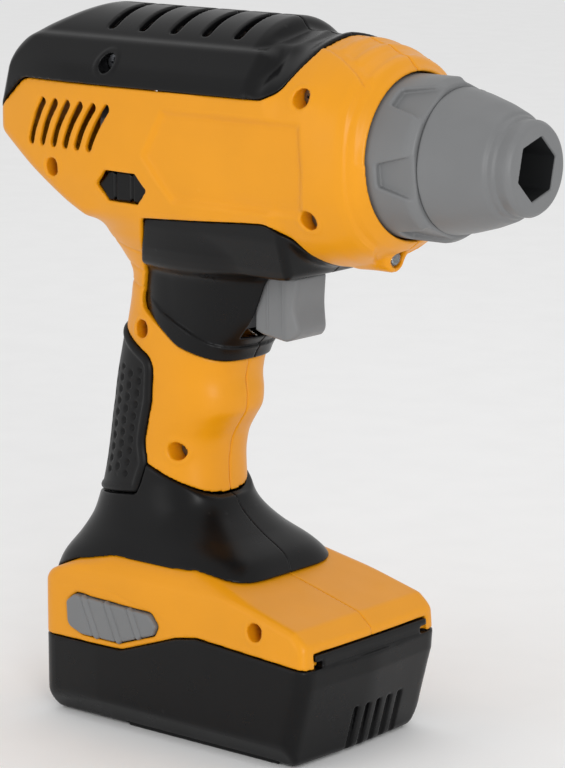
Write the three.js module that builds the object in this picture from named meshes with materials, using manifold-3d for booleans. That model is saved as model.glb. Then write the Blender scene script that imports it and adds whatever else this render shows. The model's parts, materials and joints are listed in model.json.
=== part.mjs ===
// A child's cordless drill. Millimetres, +X towards the chuck, +Y left, +Z up.
// The origin is under the middle of the battery pack, on the surface it stands on.
import * as THREE from "three";
import { mergeVertices } from "three/addons/utils/BufferGeometryUtils.js";
import Module from "manifold-3d";

const wasm = await Module();
wasm.setup();

// ---- Driving dimensions ----
const WALL = 2.2; // thickness of every moulded shell
const GAP = 0.3; // between neighbouring mouldings
const FIT = 0.35; // round a piece that slides or turns
const SPLIT = 0.15; // half of the parting gap between right and left halves
const AXIS_Z = 175.3; // height of the spindle
const BARREL_HALF = 29; // half width of the barrel
const REAR_HALF = 22.5; // half width of the barrel's flat rear end
const REAR_X = -75.5;
const NOSE_FRONT_X = 65.5;
const SEAM_Z = 190.3; // top cover and barrel meet here
const COVER_TOP_Z = 211.6;
const FOOT_HALF = 32;
const FOOT_REAR_X = -56.5;
const FOOT_FRONT_X = 53;
const SLEEVE_R = 22.9;
const SLEEVE_FRONT_X = 79;
const CHUCK_FRONT_X = 104.7;
const SOCKET_FLATS = 15.6; // hexagon socket, across flats
const SOCKET_DEPTH = 24;
const SPINDLE_R = 4;
const GRIP_HALF = 17; // half width of the handle
const TRIGGER_HALF = 8.3;
const TRIGGER_TRAVEL = 6;
const CELL_R = 7.25; // AA cell
const CELL_LENGTH = 50.5;
const SCREW_HEAD_R = 2.5;
const SCREW_SHANK_R = 1.3;
const SCREW_HEAD_HEIGHT = 1.8;
const SCREW_LENGTH = 16;
const GEAR_MODULE = 0.8;
const PINION_TEETH = 10;
const LAY_LARGE_TEETH = 26;
const LAY_SMALL_TEETH = 12;
const OUTPUT_TEETH = 24;
const FAR = 150; // reaches past everything, for cutting tools

// ---- Solids ----
function solid(geometry) {
  const bare = geometry.clone();
  bare.deleteAttribute("normal");
  bare.deleteAttribute("uv");
  const merged = mergeVertices(bare, 1e-4);
  const index = merged.index.array;
  const kept = [];
  for (let i = 0; i < index.length; i += 3) {
    const [a, b, c] = [index[i], index[i + 1], index[i + 2]];
    if (a !== b && b !== c && c !== a) kept.push(a, b, c);
  }
  const build = (triangles) =>
    new wasm.Manifold(
      new wasm.Mesh({
        numProp: 3,
        vertProperties: merged.attributes.position.array,
        triVerts: new Uint32Array(triangles),
      }),
    );
  const made = build(kept);
  if (made.volume() > 0) return made;
  const turned = [];
  for (let i = 0; i < kept.length; i += 3) turned.push(kept[i], kept[i + 2], kept[i + 1]);
  return build(turned);
}

function node(name, body, material) {
  const mesh = body.getMesh();
  const geometry = new THREE.BufferGeometry();
  geometry.setAttribute("position", new THREE.BufferAttribute(mesh.vertProperties, 3));
  geometry.setIndex(new THREE.BufferAttribute(mesh.triVerts, 1));
  const faceted = geometry.toNonIndexed();
  faceted.computeVertexNormals();
  const made = new THREE.Mesh(faceted, material);
  made.name = name;
  return made;
}

const union = (...bodies) => bodies.reduce((a, b) => a.add(b));
const cut = (body, ...tools) => tools.reduce((a, b) => a.subtract(b), body);
const common = (...bodies) => bodies.reduce((a, b) => a.intersect(b));

// ---- Outlines: lists of corners [a, b, radius] ----
function vector(corner) {
  return new THREE.Vector2(corner[0], corner[1]);
}

function outline(corners) {
  const shape = new THREE.Shape();
  corners.forEach((corner, i) => {
    const here = vector(corner);
    const back = vector(corners.at(i - 1)).sub(here);
    const on = vector(corners[(i + 1) % corners.length]).sub(here);
    const half = Math.abs(back.angleTo(on)) / 2;
    const room = 0.48 * Math.min(back.length(), on.length());
    const reach = corner[2] ? Math.min(corner[2] / Math.tan(half), room) : 0;
    const start = here.clone().addScaledVector(back.normalize(), reach);
    const end = here.clone().addScaledVector(on.normalize(), reach);
    if (i === 0) shape.moveTo(start.x, start.y);
    else shape.lineTo(start.x, start.y);
    if (reach > 0) shape.quadraticCurveTo(here.x, here.y, end.x, end.y);
  });
  shape.closePath();
  return shape;
}

// Moves every side of an outline inwards by the same distance.
function inset(corners, distance) {
  const area = corners.reduce((sum, [a, b], i) => {
    const [c, d] = corners[(i + 1) % corners.length];
    return sum + a * d - c * b;
  }, 0);
  const turn = Math.sign(area);
  return corners.map((corner, i) => {
    const here = vector(corner);
    const into = here.clone().sub(vector(corners.at(i - 1))).normalize();
    const out = vector(corners[(i + 1) % corners.length]).sub(here).normalize();
    const normalIn = new THREE.Vector2(-into.y, into.x).multiplyScalar(turn);
    const normalOut = new THREE.Vector2(-out.y, out.x).multiplyScalar(turn);
    const middle = normalIn.clone().add(normalOut).normalize();
    const reach = distance / Math.max(middle.dot(normalIn), 0.35);
    const moved = here.addScaledVector(middle, reach);
    const bend = turn * into.cross(out);
    const radius = corner[2] ? Math.max(corner[2] - Math.sign(bend) * distance, 0.4) : 0;
    return [moved.x, moved.y, radius];
  });
}

function extrude(corners, depth, smooth) {
  const options = { depth, bevelEnabled: false, curveSegments: smooth };
  return new THREE.ExtrudeGeometry(outline(corners), options);
}

const TO_X = new THREE.Matrix4().makeBasis(
  new THREE.Vector3(0, 1, 0),
  new THREE.Vector3(0, 0, 1),
  new THREE.Vector3(1, 0, 0),
);

// An outline in X and Z, extruded from y0 to y1.
function prismY(corners, y0, y1, smooth = 3) {
  return solid(extrude(corners, y1 - y0, smooth).rotateX(Math.PI / 2).translate(0, y1, 0));
}

// An outline in Y and Z, extruded from x0 to x1.
function prismX(corners, x0, x1, smooth = 4) {
  return solid(extrude(corners, x1 - x0, smooth).applyMatrix4(TO_X).translate(x0, 0, 0));
}

// An outline in X and Y, extruded from z0 to z1.
function prismZ(corners, z0, z1, smooth = 4) {
  return solid(extrude(corners, z1 - z0, smooth).translate(0, 0, z0));
}

function block(x0, x1, y0, y1, z0, z1) {
  const size = new THREE.BoxGeometry(x1 - x0, y1 - y0, z1 - z0);
  return solid(size.translate((x0 + x1) / 2, (y0 + y1) / 2, (z0 + z1) / 2));
}

function rod(radius, length, sides) {
  return new THREE.CylinderGeometry(radius, radius, length, sides);
}

// A cylinder along Y between y0 and y1.
function rodY(x, z, radius, y0, y1, sides = 16) {
  return solid(rod(radius, y1 - y0, sides).translate(x, (y0 + y1) / 2, z));
}

// A cylinder along X between x0 and x1.
function rodX(y, z, radius, x0, x1, sides = 20) {
  return solid(rod(radius, x1 - x0, sides).rotateZ(Math.PI / 2).translate((x0 + x1) / 2, y, z));
}

// A cylinder along Z between z0 and z1, on the Z axis.
function rodZ(radius, z0, z1, sides = 12) {
  return solid(rod(radius, z1 - z0, sides).rotateX(Math.PI / 2).translate(0, 0, (z0 + z1) / 2));
}

// A profile of [x, radius] turned about the X axis.
function turned(profile, sides = 36) {
  const points = profile.map(([x, r]) => new THREE.Vector2(r, x));
  return solid(new THREE.LatheGeometry(points, sides).rotateZ(-Math.PI / 2));
}

// Stacked rounded sections: rows of [z, rear x, front x, half width], squareness from 2 to 4.
function loft(rows, square = 2.6, sides = 32, shrink = 0) {
  const geometry = new THREE.CylinderGeometry(1, 1, 1, sides, rows.length - 1);
  const at = geometry.attributes.position;
  for (let i = 0; i < at.count; i++) {
    const row = rows[Math.round((at.getY(i) + 0.5) * (rows.length - 1))];
    const [z, rear, front, half] = row;
    const c = at.getX(i);
    const s = at.getZ(i);
    const size = Math.hypot(c, s);
    const bend = (v) => Math.sign(v) * Math.abs(v) ** (2 / square);
    const a = (front - rear) / 2 - shrink;
    const x = size > 0.5 ? bend(c / size) * a : 0;
    const y = size > 0.5 ? -bend(s / size) * (half - shrink) : 0;
    at.setXYZ(i, (rear + front) / 2 + x, y, z);
  }
  return solid(geometry);
}

const RIGHT = block(-FAR, FAR, -FAR, -SPLIT, -FAR, 2 * FAR);
const LEFT = block(-FAR, FAR, SPLIT, FAR, -FAR, 2 * FAR);

// ---- Materials ----
function plastic(color, roughness = 0.5, metalness = 0) {
  return new THREE.MeshStandardMaterial({ color, roughness, metalness });
}
const yellow = plastic(0xeca62a, 0.42);
const black = plastic(0x202022, 0.45);
const grey = plastic(0x7f8282, 0.5);
const white = plastic(0xe8e6de, 0.5);
const steel = plastic(0xb9bcc0, 0.35, 1);
const brass = plastic(0xc9a24a, 0.35, 1);
const clear = plastic(0xdfe6ea, 0.1);
const board = plastic(0x2f6b3a, 0.6);
const wrap = plastic(0x35506f, 0.35);

// ---- Outer form of the barrel ----
const BARREL_SIDE = [
  [REAR_X, 173, 4],
  [-46.5, 154.2, 8],
  [-40, 150.5, 4],
  [34, 150.5, 4],
  [40, 142.6, 4],
  [57, 142.6, 6],
  [NOSE_FRONT_X, 150.5, 1],
  [NOSE_FRONT_X, 200, 1],
  [56, 206, 5],
  [44.6, 208.2, 2],
  [41.5, 205.4, 2],
  [36.5, 193.4, 6],
  [31, SEAM_Z + 0.6, 5],
  [-62, SEAM_Z, 9],
  [REAR_X, 179.5, 3],
];
const BARREL_SECTION = [
  [-BARREL_HALF, 194, 10],
  [-BARREL_HALF, 163, 14],
  [-19.5, 145.5, 12],
  [0, 141.5, 20],
  [19.5, 145.5, 12],
  [BARREL_HALF, 163, 14],
  [BARREL_HALF, 194, 10],
  [19, 205.8, 12],
  [0, 210.6, 20],
  [-19, 205.8, 12],
];
const BARREL_PLAN = [
  [REAR_X, -REAR_HALF, 5],
  [-58, -BARREL_HALF, 14],
  [50, -BARREL_HALF - 0.6, 12],
  [NOSE_FRONT_X, -25.2, 1],
  [NOSE_FRONT_X, 25.2, 1],
  [50, BARREL_HALF + 0.6, 12],
  [-58, BARREL_HALF, 14],
  [REAR_X, REAR_HALF, 5],
];
// Dome of the nose, [x, radius] about the spindle.
const NOSE_DOME = [
  [20, 0],
  [20, 45],
  [44, 32.8],
  [52, 31.2],
  [59, 28.6],
  [NOSE_FRONT_X, 25],
  [NOSE_FRONT_X, 0],
];

function barrelForm(depth) {
  const form = common(
    prismY(inset(BARREL_SIDE, depth), -FAR, FAR),
    prismX(inset(BARREL_SECTION, depth), -FAR, FAR, 3),
    prismZ(inset(BARREL_PLAN, depth), 0, 2 * FAR),
  );
  const dome = turned(NOSE_DOME.map(([x, r]) => [x, r > 0 ? r - depth : 0]), 28);
  const behind = block(-FAR, 20, -FAR, FAR, 0, 2 * FAR);
  return form.intersect(union(dome.translate([0, 0, AXIS_Z]), behind));
}

// ---- Handle: rows of [z, rear x, front x, half width] ----
const HANDLE_ROWS = [
  [58, -50, -1, GRIP_HALF + 1.5],
  [66, -48.4, -3.6, GRIP_HALF + 0.4],
  [74.5, -46.2, -4.6, GRIP_HALF],
  [82, -44.9, -4.4, GRIP_HALF - 0.4],
  [87, -44, -3.2, GRIP_HALF - 0.2],
  [91, -43.4, -0.8, GRIP_HALF],
  [95, -42.8, 1.8, GRIP_HALF],
  [99, -42.2, 2.4, GRIP_HALF],
  [104.7, -41, 1.9, GRIP_HALF],
  [112, -39.3, 3.6, GRIP_HALF],
  [119, -38.1, 6.5, GRIP_HALF - 0.3],
  [128, -36.6, 12, GRIP_HALF - 0.2],
  [135, -36, 15.5, GRIP_HALF + 0.8],
  [140.5, -39.5, 20, GRIP_HALF + 2.6],
  [147, -43.5, 27, GRIP_HALF + 7],
  [156, -46, 33, BARREL_HALF - 2],
];
const handleForm = (depth) => loft(HANDLE_ROWS, 2.6, 20, depth);

// ---- Regions of the side view that each moulding fills ----
const THROAT_ZONE = [
  [-14.8, 153.2, 1],
  [31, 155.9, 8],
  [38.5, 152, 3],
  [42, 142.4, 0],
  [42, 138, 0],
  [22, 138, 0],
  [15, 112.6, 0],
  [8.5, 111, 4],
  [2, 110.6, 10],
  [-10.4, 114.9, 16],
  [-25.9, 125.4, 4],
];
const PAD_ZONE = [
  [-60, 128, 0],
  [-37.5, 118.6, 1],
  [-20, 110, 5],
  [-20.6, 97, 10],
  [-23.8, 84, 6],
  [-22.6, 78, 4],
  [-26, 68.6, 2],
  [-60, 64.4, 0],
];
const HANDLE_FLOOR = [
  [-60, 68.6, 0],
  [-25, 79, 3],
  [-16, 75.2, 6],
  [-9.5, 72.4, 6],
  [-3, 68.8, 3],
  [30, 68.8, 0],
  [30, 30, 0],
  [-60, 30, 0],
];

function grow(corners, distance) {
  return inset(corners, -distance);
}

// ---- Screws and their bosses, [x, z, surface y of the hole] ----
const BOSS_R = SCREW_HEAD_R + 1.4;
const SEAT = 7; // depth of the counterbore
const HOUSING_SCREWS = {
  nose_upper: [44.2, 192.1, 27],
  nose_lower: [46.2, 158.6, 26],
  rear: [-49.8, 165, 27],
  handle_upper: [-24.8, 118.2, 15.5],
  handle_lower: [-12.6, 82.9, 14.5],
};
const COVER_SCREW = [-28, 196.7, 28];
const FOOT_SCREW = [30.2, 39, 29];

// The boss is kept inside the outer form; bore and thread hole are cut afterwards.
function boss([x, z], form) {
  return rodY(x, z, BOSS_R, -FAR, FAR, 10).intersect(form);
}

function bores([x, z, surface]) {
  const head = rodY(x, z, SCREW_HEAD_R + 0.3, -FAR, -surface + SEAT, 10);
  const thread = rodY(x, z, SCREW_SHANK_R + 0.2, -surface, surface - 3, 6);
  return union(head, thread);
}

function withBosses(shell, form, screws) {
  const bodies = screws.map((screw) => boss(screw, form));
  return cut(union(shell, ...bodies), ...screws.map(bores));
}

function screw(name, [x, z, surface]) {
  const head = rodY(0, 0, SCREW_HEAD_R, 0, SCREW_HEAD_HEIGHT, 10);
  const shank = rodY(0, 0, SCREW_SHANK_R, 1.5, SCREW_LENGTH, 6);
  const slotA = block(-1.5, 1.5, -1, 0.9, -0.35, 0.35);
  const slotB = block(-0.35, 0.35, -1, 0.9, -1.5, 1.5);
  const mesh = node(name, cut(union(head, shank), slotA, slotB), steel);
  mesh.position.set(x, -surface + SEAT - SCREW_HEAD_HEIGHT - GAP, z);
  return mesh;
}

// ---- Barrel and handle housing ----
const VENT_COUNT = 6;
const VENT_PITCH = 5.3;
const VENT_WIDTH = 2.4;
const VENT_TOP = [-53.6, 184.4];
const VENT_BOTTOM = [-59, 171.8];
const HEX_WINDOW = [
  [-33, 161.7, 0.6],
  [-29, 157.2, 0.6],
  [-15.3, 157.2, 0.6],
  [-11.3, 161.7, 0.6],
  [-15.3, 166.2, 0.6],
  [-29, 166.2, 0.6],
];

function vents() {
  const tools = [];
  for (let i = 0; i < VENT_COUNT; i++) {
    const shift = i * VENT_PITCH;
    const half = VENT_WIDTH / 2;
    const slot = [
      [VENT_BOTTOM[0] + shift - half, VENT_BOTTOM[1], half],
      [VENT_BOTTOM[0] + shift + half, VENT_BOTTOM[1] - 0.5, half],
      [VENT_TOP[0] + shift + half, VENT_TOP[1], half],
      [VENT_TOP[0] + shift - half, VENT_TOP[1] + 0.5, half],
    ];
    tools.push(prismY(slot, -FAR, FAR, 1));
  }
  return union(...tools);
}

const housingOuter = union(barrelForm(0), handleForm(0));
const housingInner = union(barrelForm(WALL), handleForm(WALL));

function housing() {
  const opening = rodX(0, AXIS_Z, SLEEVE_R + FIT, 50, FAR, 40);
  const shell = withBosses(cut(housingOuter, housingInner), housingOuter, Object.values(HOUSING_SCREWS));
  const above = prismY(
    [
      [FAR, 2 * FAR, 0],
      [-FAR, 2 * FAR, 0],
      [-FAR, SEAM_Z, 0],
      [31, SEAM_Z, 0],
      [43, 209, 0],
      [FAR, 209, 0],
    ],
    -FAR,
    FAR,
  );
  return cut(
    shell,
    opening,
    above,
    vents(),
    prismY(HEX_WINDOW, -FAR, FAR),
    prismY(grow(THROAT_ZONE, GAP / 2), -FAR, FAR),
    prismY(grow(PAD_ZONE, GAP / 2), -FAR, FAR),
    prismY(grow(HANDLE_FLOOR, GAP / 2), -FAR, FAR),
    rodX(0, AXIS_Z - 29.3, 3, 45, FAR, 12),
    block(-57, 28, -20, 20, 184, 2 * FAR),
  );
}

function housings() {
  const whole = housing();
  return [
    node("housing_right", whole.intersect(RIGHT), yellow),
    node("housing_left", whole.intersect(LEFT), yellow),
  ];
}

// ---- Top cover ----
const COVER_SIDE = [
  [REAR_X - 1.2, 179.2, 0.4],
  [-73.6, 192.5, 6],
  [-66.5, 202, 8],
  [-50, COVER_TOP_Z, 10],
  [24.5, COVER_TOP_Z, 0],
  [24.5, COVER_TOP_Z - 4, 0],
  [44.5, COVER_TOP_Z - 3.2, 0],
  [46, 190, 0],
  [33, 180, 0],
  [-62, 180, 0],
];
const COVER_SECTION = [
  [-BARREL_HALF, 170, 0],
  [BARREL_HALF, 170, 0],
  [BARREL_HALF, 194, 10],
  [23.5, 203.5, 8],
  [12, 210.3, 10],
  [0, COVER_TOP_Z + 0.5, 10],
  [-12, 210.3, 10],
  [-23.5, 203.5, 8],
  [-BARREL_HALF, 194, 10],
];
const COVER_PLAN = [
  [REAR_X - 1.2, -20, 4],
  [-58, -BARREL_HALF, 14],
  [60, -BARREL_HALF, 0],
  [60, BARREL_HALF, 0],
  [-58, BARREL_HALF, 14],
  [REAR_X - 1.2, 20, 4],
];
const RIB_SLOTS = 5;
const RIB_PITCH = 12;
const RIB_SLOT_X = -35;
const RIB_SLOT_WIDTH = 3;

function coverForm(depth) {
  return common(
    prismY(inset(COVER_SIDE, depth), -FAR, FAR, 3),
    prismX(inset(COVER_SECTION, depth), -FAR, FAR, 3),
    prismZ(inset(COVER_PLAN, depth), 0, 2 * FAR, 3),
  );
}

function topCovers() {
  const form = coverForm(0);
  const slots = [];
  for (let i = 0; i < RIB_SLOTS; i++) {
    const x = RIB_SLOT_X + i * RIB_PITCH;
    const half = RIB_SLOT_WIDTH / 2;
    slots.push(block(x - half, x + half, -17, 17, 200, 2 * FAR));
  }
  const whole = cut(
    withBosses(cut(form, coverForm(WALL)), form, [COVER_SCREW]),
    ...slots,
    prismY(grow(BARREL_SIDE, GAP), -FAR, FAR),
    block(-FAR, FAR, -FAR, FAR, 0, 179),
    motorRoom(),
  );
  return [
    node("top_cover_right", whole.intersect(RIGHT), black),
    node("top_cover_left", whole.intersect(LEFT), black),
  ];
}

function motorRoom() {
  return rodX(0, AXIS_Z, 12, -60, 60, 12);
}

// ---- Throat: the cover round the trigger ----
const THROAT_ROWS = [
  [106, -30, 3.2, GRIP_HALF + 0.5],
  [111, -30, 4.8, GRIP_HALF + 0.5],
  [114, -30, 6.4, GRIP_HALF + 0.4],
  [119, -30, 11, GRIP_HALF + 0.3],
  [128, -30, 17, GRIP_HALF + 0.6],
  [136.5, -30, 20.5, GRIP_HALF + 1.6],
  [142, -30, 40, GRIP_HALF + 4],
  [145, -30, 43, GRIP_HALF + 5],
  [149, -30, 43, BARREL_HALF - 4],
  [157, -30, 43, BARREL_HALF - 1.4],
];
const TRIGGER_WINDOW = TRIGGER_HALF + FIT;
const TRIGGER_REAR = 12; // back of the trigger at rest

function throats() {
  const inner = loft(THROAT_ROWS, 2.8, 20, WALL);
  const whole = cut(
    common(loft(THROAT_ROWS, 2.8, 20), prismY(inset(THROAT_ZONE, GAP / 2), -FAR, FAR)),
    inner,
    barrelForm(-GAP).intersect(block(20, FAR, -FAR, FAR, 0, 2 * FAR)),
    block(TRIGGER_REAR - TRIGGER_TRAVEL - FIT, FAR, -TRIGGER_WINDOW, TRIGGER_WINDOW, 118.4, 138.5),
  );
  return [
    node("throat_right", whole.intersect(RIGHT), black),
    node("throat_left", whole.intersect(LEFT), black),
  ];
}

// ---- Grip pad ----
function gripPad() {
  const pad = common(handleForm(-0.4), prismY(inset(PAD_ZONE, GAP / 2), -FAR, FAR));
  return node("grip_pad", cut(pad, handleForm(WALL), padBossRoom()), black);
}

function padBossRoom() {
  const [x, z] = HOUSING_SCREWS.handle_upper;
  return rodY(x, z, BOSS_R + GAP, -FAR, FAR, 14);
}

// ---- Collar between handle and foot ----
const COLLAR_ROWS = [
  [36, -58.2, 23, 30],
  [43, -56.2, 20.6, 29],
  [48, -54.2, 19.2, 28],
  [54, -51.6, 16, 25],
  [59, -50, 7.6, 21.6],
  [65, -48.8, 0.4, 19],
  [71, -47.4, -2.9, 17.8],
  [80, -46, -3.4, 17.4],
];
const COLLAR_FLOOR = [
  [-70, 34, 0],
  [-56.5, 42.6, 2],
  [-40, 48.6, 4],
  [-28, 51.2, 8],
  [-6, 49.6, 4],
  [11, 48.6, 4],
  [19, 49.0, 2],
  [40, 52, 0],
  [40, 20, 0],
  [-70, 20, 0],
];

function collars() {
  const form = loft(COLLAR_ROWS, 2.6, 24);
  const top = prismY(inset(HANDLE_FLOOR, GAP / 2), -FAR, FAR);
  const notch = block(-60, -43, -FAR, FAR, 66.2, 90);
  const whole = cut(
    form.intersect(top),
    loft(COLLAR_ROWS, 2.6, 24, WALL),
    footTop(GAP),
    notch,
    prismY(grow(PAD_ZONE, GAP / 2), -FAR, FAR),
  );
  return [
    node("collar_right", whole.intersect(RIGHT), black),
    node("collar_left", whole.intersect(LEFT), black),
  ];
}

// ---- Foot ----
// Line between foot and battery pack; its front stretch is the direction in which the pack slides.
const SLIDE_SLOPE = -0.0628;
const STEP_X = 8.6;
const STEP_Z = 33.3;
const slideZ = (x) => STEP_Z + SLIDE_SLOPE * (x - STEP_X);
const JOINT_LINE = [
  [FOOT_REAR_X - 5, 23.6],
  [-20.5, 24.6],
  [0.5, 31.9],
  [STEP_X, STEP_Z],
  [FOOT_FRONT_X + 5, slideZ(FOOT_FRONT_X + 5)],
];
const FOOT_SIDE = [
  [FOOT_REAR_X, 15, 0],
  [FOOT_REAR_X, 41.2, 2.5],
  [-41, 48.6, 6],
  [-28, 52.4, 8],
  [4, 52.3, 6],
  [44, 41.4, 3],
  [FOOT_FRONT_X - 2.4, 37.2, 2],
  [FOOT_FRONT_X, 15, 0],
];
const FOOT_PLAN = [
  [FOOT_REAR_X, 0, 0],
  [FOOT_REAR_X + 2.6, -FOOT_HALF + 2, 7],
  [-30, -FOOT_HALF, 10],
  [FOOT_FRONT_X - 1.7, -FOOT_HALF + 0.7, 5.5],
  [FOOT_FRONT_X, 0, 60],
  [FOOT_FRONT_X - 1.7, FOOT_HALF - 0.7, 5.5],
  [-30, FOOT_HALF, 10],
  [FOOT_REAR_X + 2.6, FOOT_HALF - 2, 7],
];
const FOOT_SECTION = [
  [-FOOT_HALF, 0, 0],
  [FOOT_HALF, 0, 0],
  [FOOT_HALF, 31, 6],
  [FOOT_HALF - 2.4, 44, 4],
  [22, 54, 6],
  [-22, 54, 6],
  [-FOOT_HALF + 2.4, 44, 4],
  [-FOOT_HALF, 31, 6],
];
const TONGUE = { neck: 22.6, head: 25.6, headLow: 1.9, headHigh: 3.9, rear: 6, front: 49.5 };

function footForm(depth) {
  return common(
    prismY(inset(FOOT_SIDE, depth), -FAR, FAR, 3),
    prismZ(inset(FOOT_PLAN, depth), -FAR, FAR, 3),
    prismX(inset(FOOT_SECTION, depth), -FAR, FAR, 3),
  );
}

function footTop(clearance) {
  return union(
    footForm(-clearance),
    prismY(
      COLLAR_FLOOR.map(([x, z]) => [x, z + clearance, 0]),
      -FAR,
      FAR,
    ),
  );
}

// The space above the joint line when side is 1, below it when side is -1.
function beyondJoint(side, clearance) {
  const line = JOINT_LINE.map(([x, z]) => [x, z + side * clearance, 0]);
  const end = side > 0 ? FAR : -FAR;
  return prismY([...line, [JOINT_LINE.at(-1)[0], end, 0], [JOINT_LINE[0][0], end, 0]], -FAR, FAR);
}

// A bar whose top and bottom run along the direction in which the pack slides.
function slideBar(x0, x1, y0, y1, low, high) {
  const corners = [
    [x0, slideZ(x0) + low, 0],
    [x1, slideZ(x1) + low, 0],
    [x1, slideZ(x1) + high, 0],
    [x0, slideZ(x0) + high, 0],
  ];
  return prismY(corners, y0, y1);
}

const RELEASE_OUTLINE = [
  [-42.2, 36.0, 1.5],
  [-39.2, 38.4, 1.5],
  [-9.2, 37.4, 1.5],
  [-6.4, 34.2, 1.2],
  [-7.6, 31.4, 1.2],
  [-21.5, 26.6, 3],
  [-36, 26.6, 4],
  [-41.8, 28.6, 3],
];

function feet() {
  const form = footForm(0);
  const shell = withBosses(cut(form, footForm(WALL)), form, [FOOT_SCREW]);
  const rails = [-1, 1].map((side) => {
    const [a, b] = [side * (TONGUE.neck + FIT), side * (FOOT_HALF - 1)].sort((p, q) => p - q);
    return slideBar(TONGUE.rear, 46, a, b, GAP / 2, TONGUE.headLow - FIT).intersect(form);
  });
  const notch = slideBar(40, 70, -TONGUE.head - FIT, TONGUE.head + FIT, -5, TONGUE.headHigh + FIT);
  const lipRoom = slideBar(40, 70, -FAR, FAR, -5, 0);
  const neckBelow = block(-60, 12, -12, 12, 44, 60);
  const whole = cut(
    cut(union(cut(shell, notch), ...rails), lipRoom).intersect(beyondJoint(1, GAP / 2)),
    neckBelow,
    prismY(grow(RELEASE_OUTLINE, FIT), -FAR, FAR),
    slideBar(TONGUE.rear - 1, 70, -TONGUE.neck - FIT, TONGUE.neck + FIT, -9, TONGUE.headHigh + FIT),
    slideBar(
      TONGUE.rear - 1,
      70,
      -TONGUE.head - FIT,
      TONGUE.head + FIT,
      TONGUE.headLow - FIT,
      TONGUE.headHigh + FIT,
    ),
  );
  return [
    node("foot_right", whole.intersect(RIGHT), yellow),
    node("foot_left", whole.intersect(LEFT), yellow),
  ];
}

// ---- Battery pack ----
const PACK_SIDE = [
  [FOOT_REAR_X + 1, 40, 0],
  [FOOT_REAR_X + 1, 8, 3],
  [-50, 0, 2],
  [43.6, 0, 2],
  [FOOT_FRONT_X - 4.4, 17, 20],
  [FOOT_FRONT_X, 34, 0],
  [FOOT_FRONT_X, 40, 0],
];
const PACK_SECTION = [
  [-FOOT_HALF, 60, 0],
  [-FOOT_HALF, 8.5, 4],
  [-FOOT_HALF + 6, 0, 2],
  [FOOT_HALF - 6, 0, 2],
  [FOOT_HALF, 8.5, 4],
  [FOOT_HALF, 60, 0],
];
const DOOR = { x0: -22, x1: 36, half: 26.5 };
const DOOR_SCREW = { x: -17, y: -21 };
const DOOR_THICK = 1.8;
const CELL_X = [-6, 9.3, 24.6];
const CELL_Z = DOOR_THICK + 2.6 + CELL_R;
const SIDE_LEAN = 1; // how far the pack's side leans in at the height of the cells
const CONTACT_REACH = FOOT_HALF - WALL - SIDE_LEAN - CELL_LENGTH / 2 - 2 * GAP;
const FRONT_SLOTS = 5;
const FRONT_SLOT_PITCH = 5.2;
const FRONT_SLOT_Y = -4.6;

function packForm(depth) {
  return common(
    prismY(inset(PACK_SIDE, depth), -FAR, FAR, 3),
    prismZ(inset(FOOT_PLAN, depth), -FAR, FAR, 3),
    prismX(inset(PACK_SECTION, depth), -FAR, FAR, 3),
  );
}

function packCase() {
  const body = packForm(0).intersect(beyondJoint(-1, GAP / 2));
  const hollow = packForm(WALL).intersect(beyondJoint(-1, WALL));
  const opening = block(DOOR.x0 - GAP, DOOR.x1 + GAP, -DOOR.half - GAP, DOOR.half + GAP, -1, WALL + 1);
  const grooves = [];
  for (let i = 0; i < FRONT_SLOTS; i++) {
    const y = FRONT_SLOT_Y + i * FRONT_SLOT_PITCH;
    grooves.push(block(42.6, FAR, y - 0.9, y + 0.9, -1, 14.2));
  }
  const { rear, front, headLow, headHigh } = TONGUE;
  const neck = slideBar(rear, front, -TONGUE.neck, TONGUE.neck, -1, headLow + 0.5);
  const head = slideBar(rear, front, -TONGUE.head, TONGUE.head, headLow, headHigh);
  const at = [DOOR_SCREW.x, DOOR_SCREW.y, 0];
  const post = rodZ(3.2, DOOR_THICK + GAP, 23).translate(at).intersect(body);
  const pilot = rodZ(SCREW_SHANK_R + 0.2, 0, 10).translate(at);
  return cut(union(cut(body, hollow, opening, ...grooves), neck, head, post), pilot);
}

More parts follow.
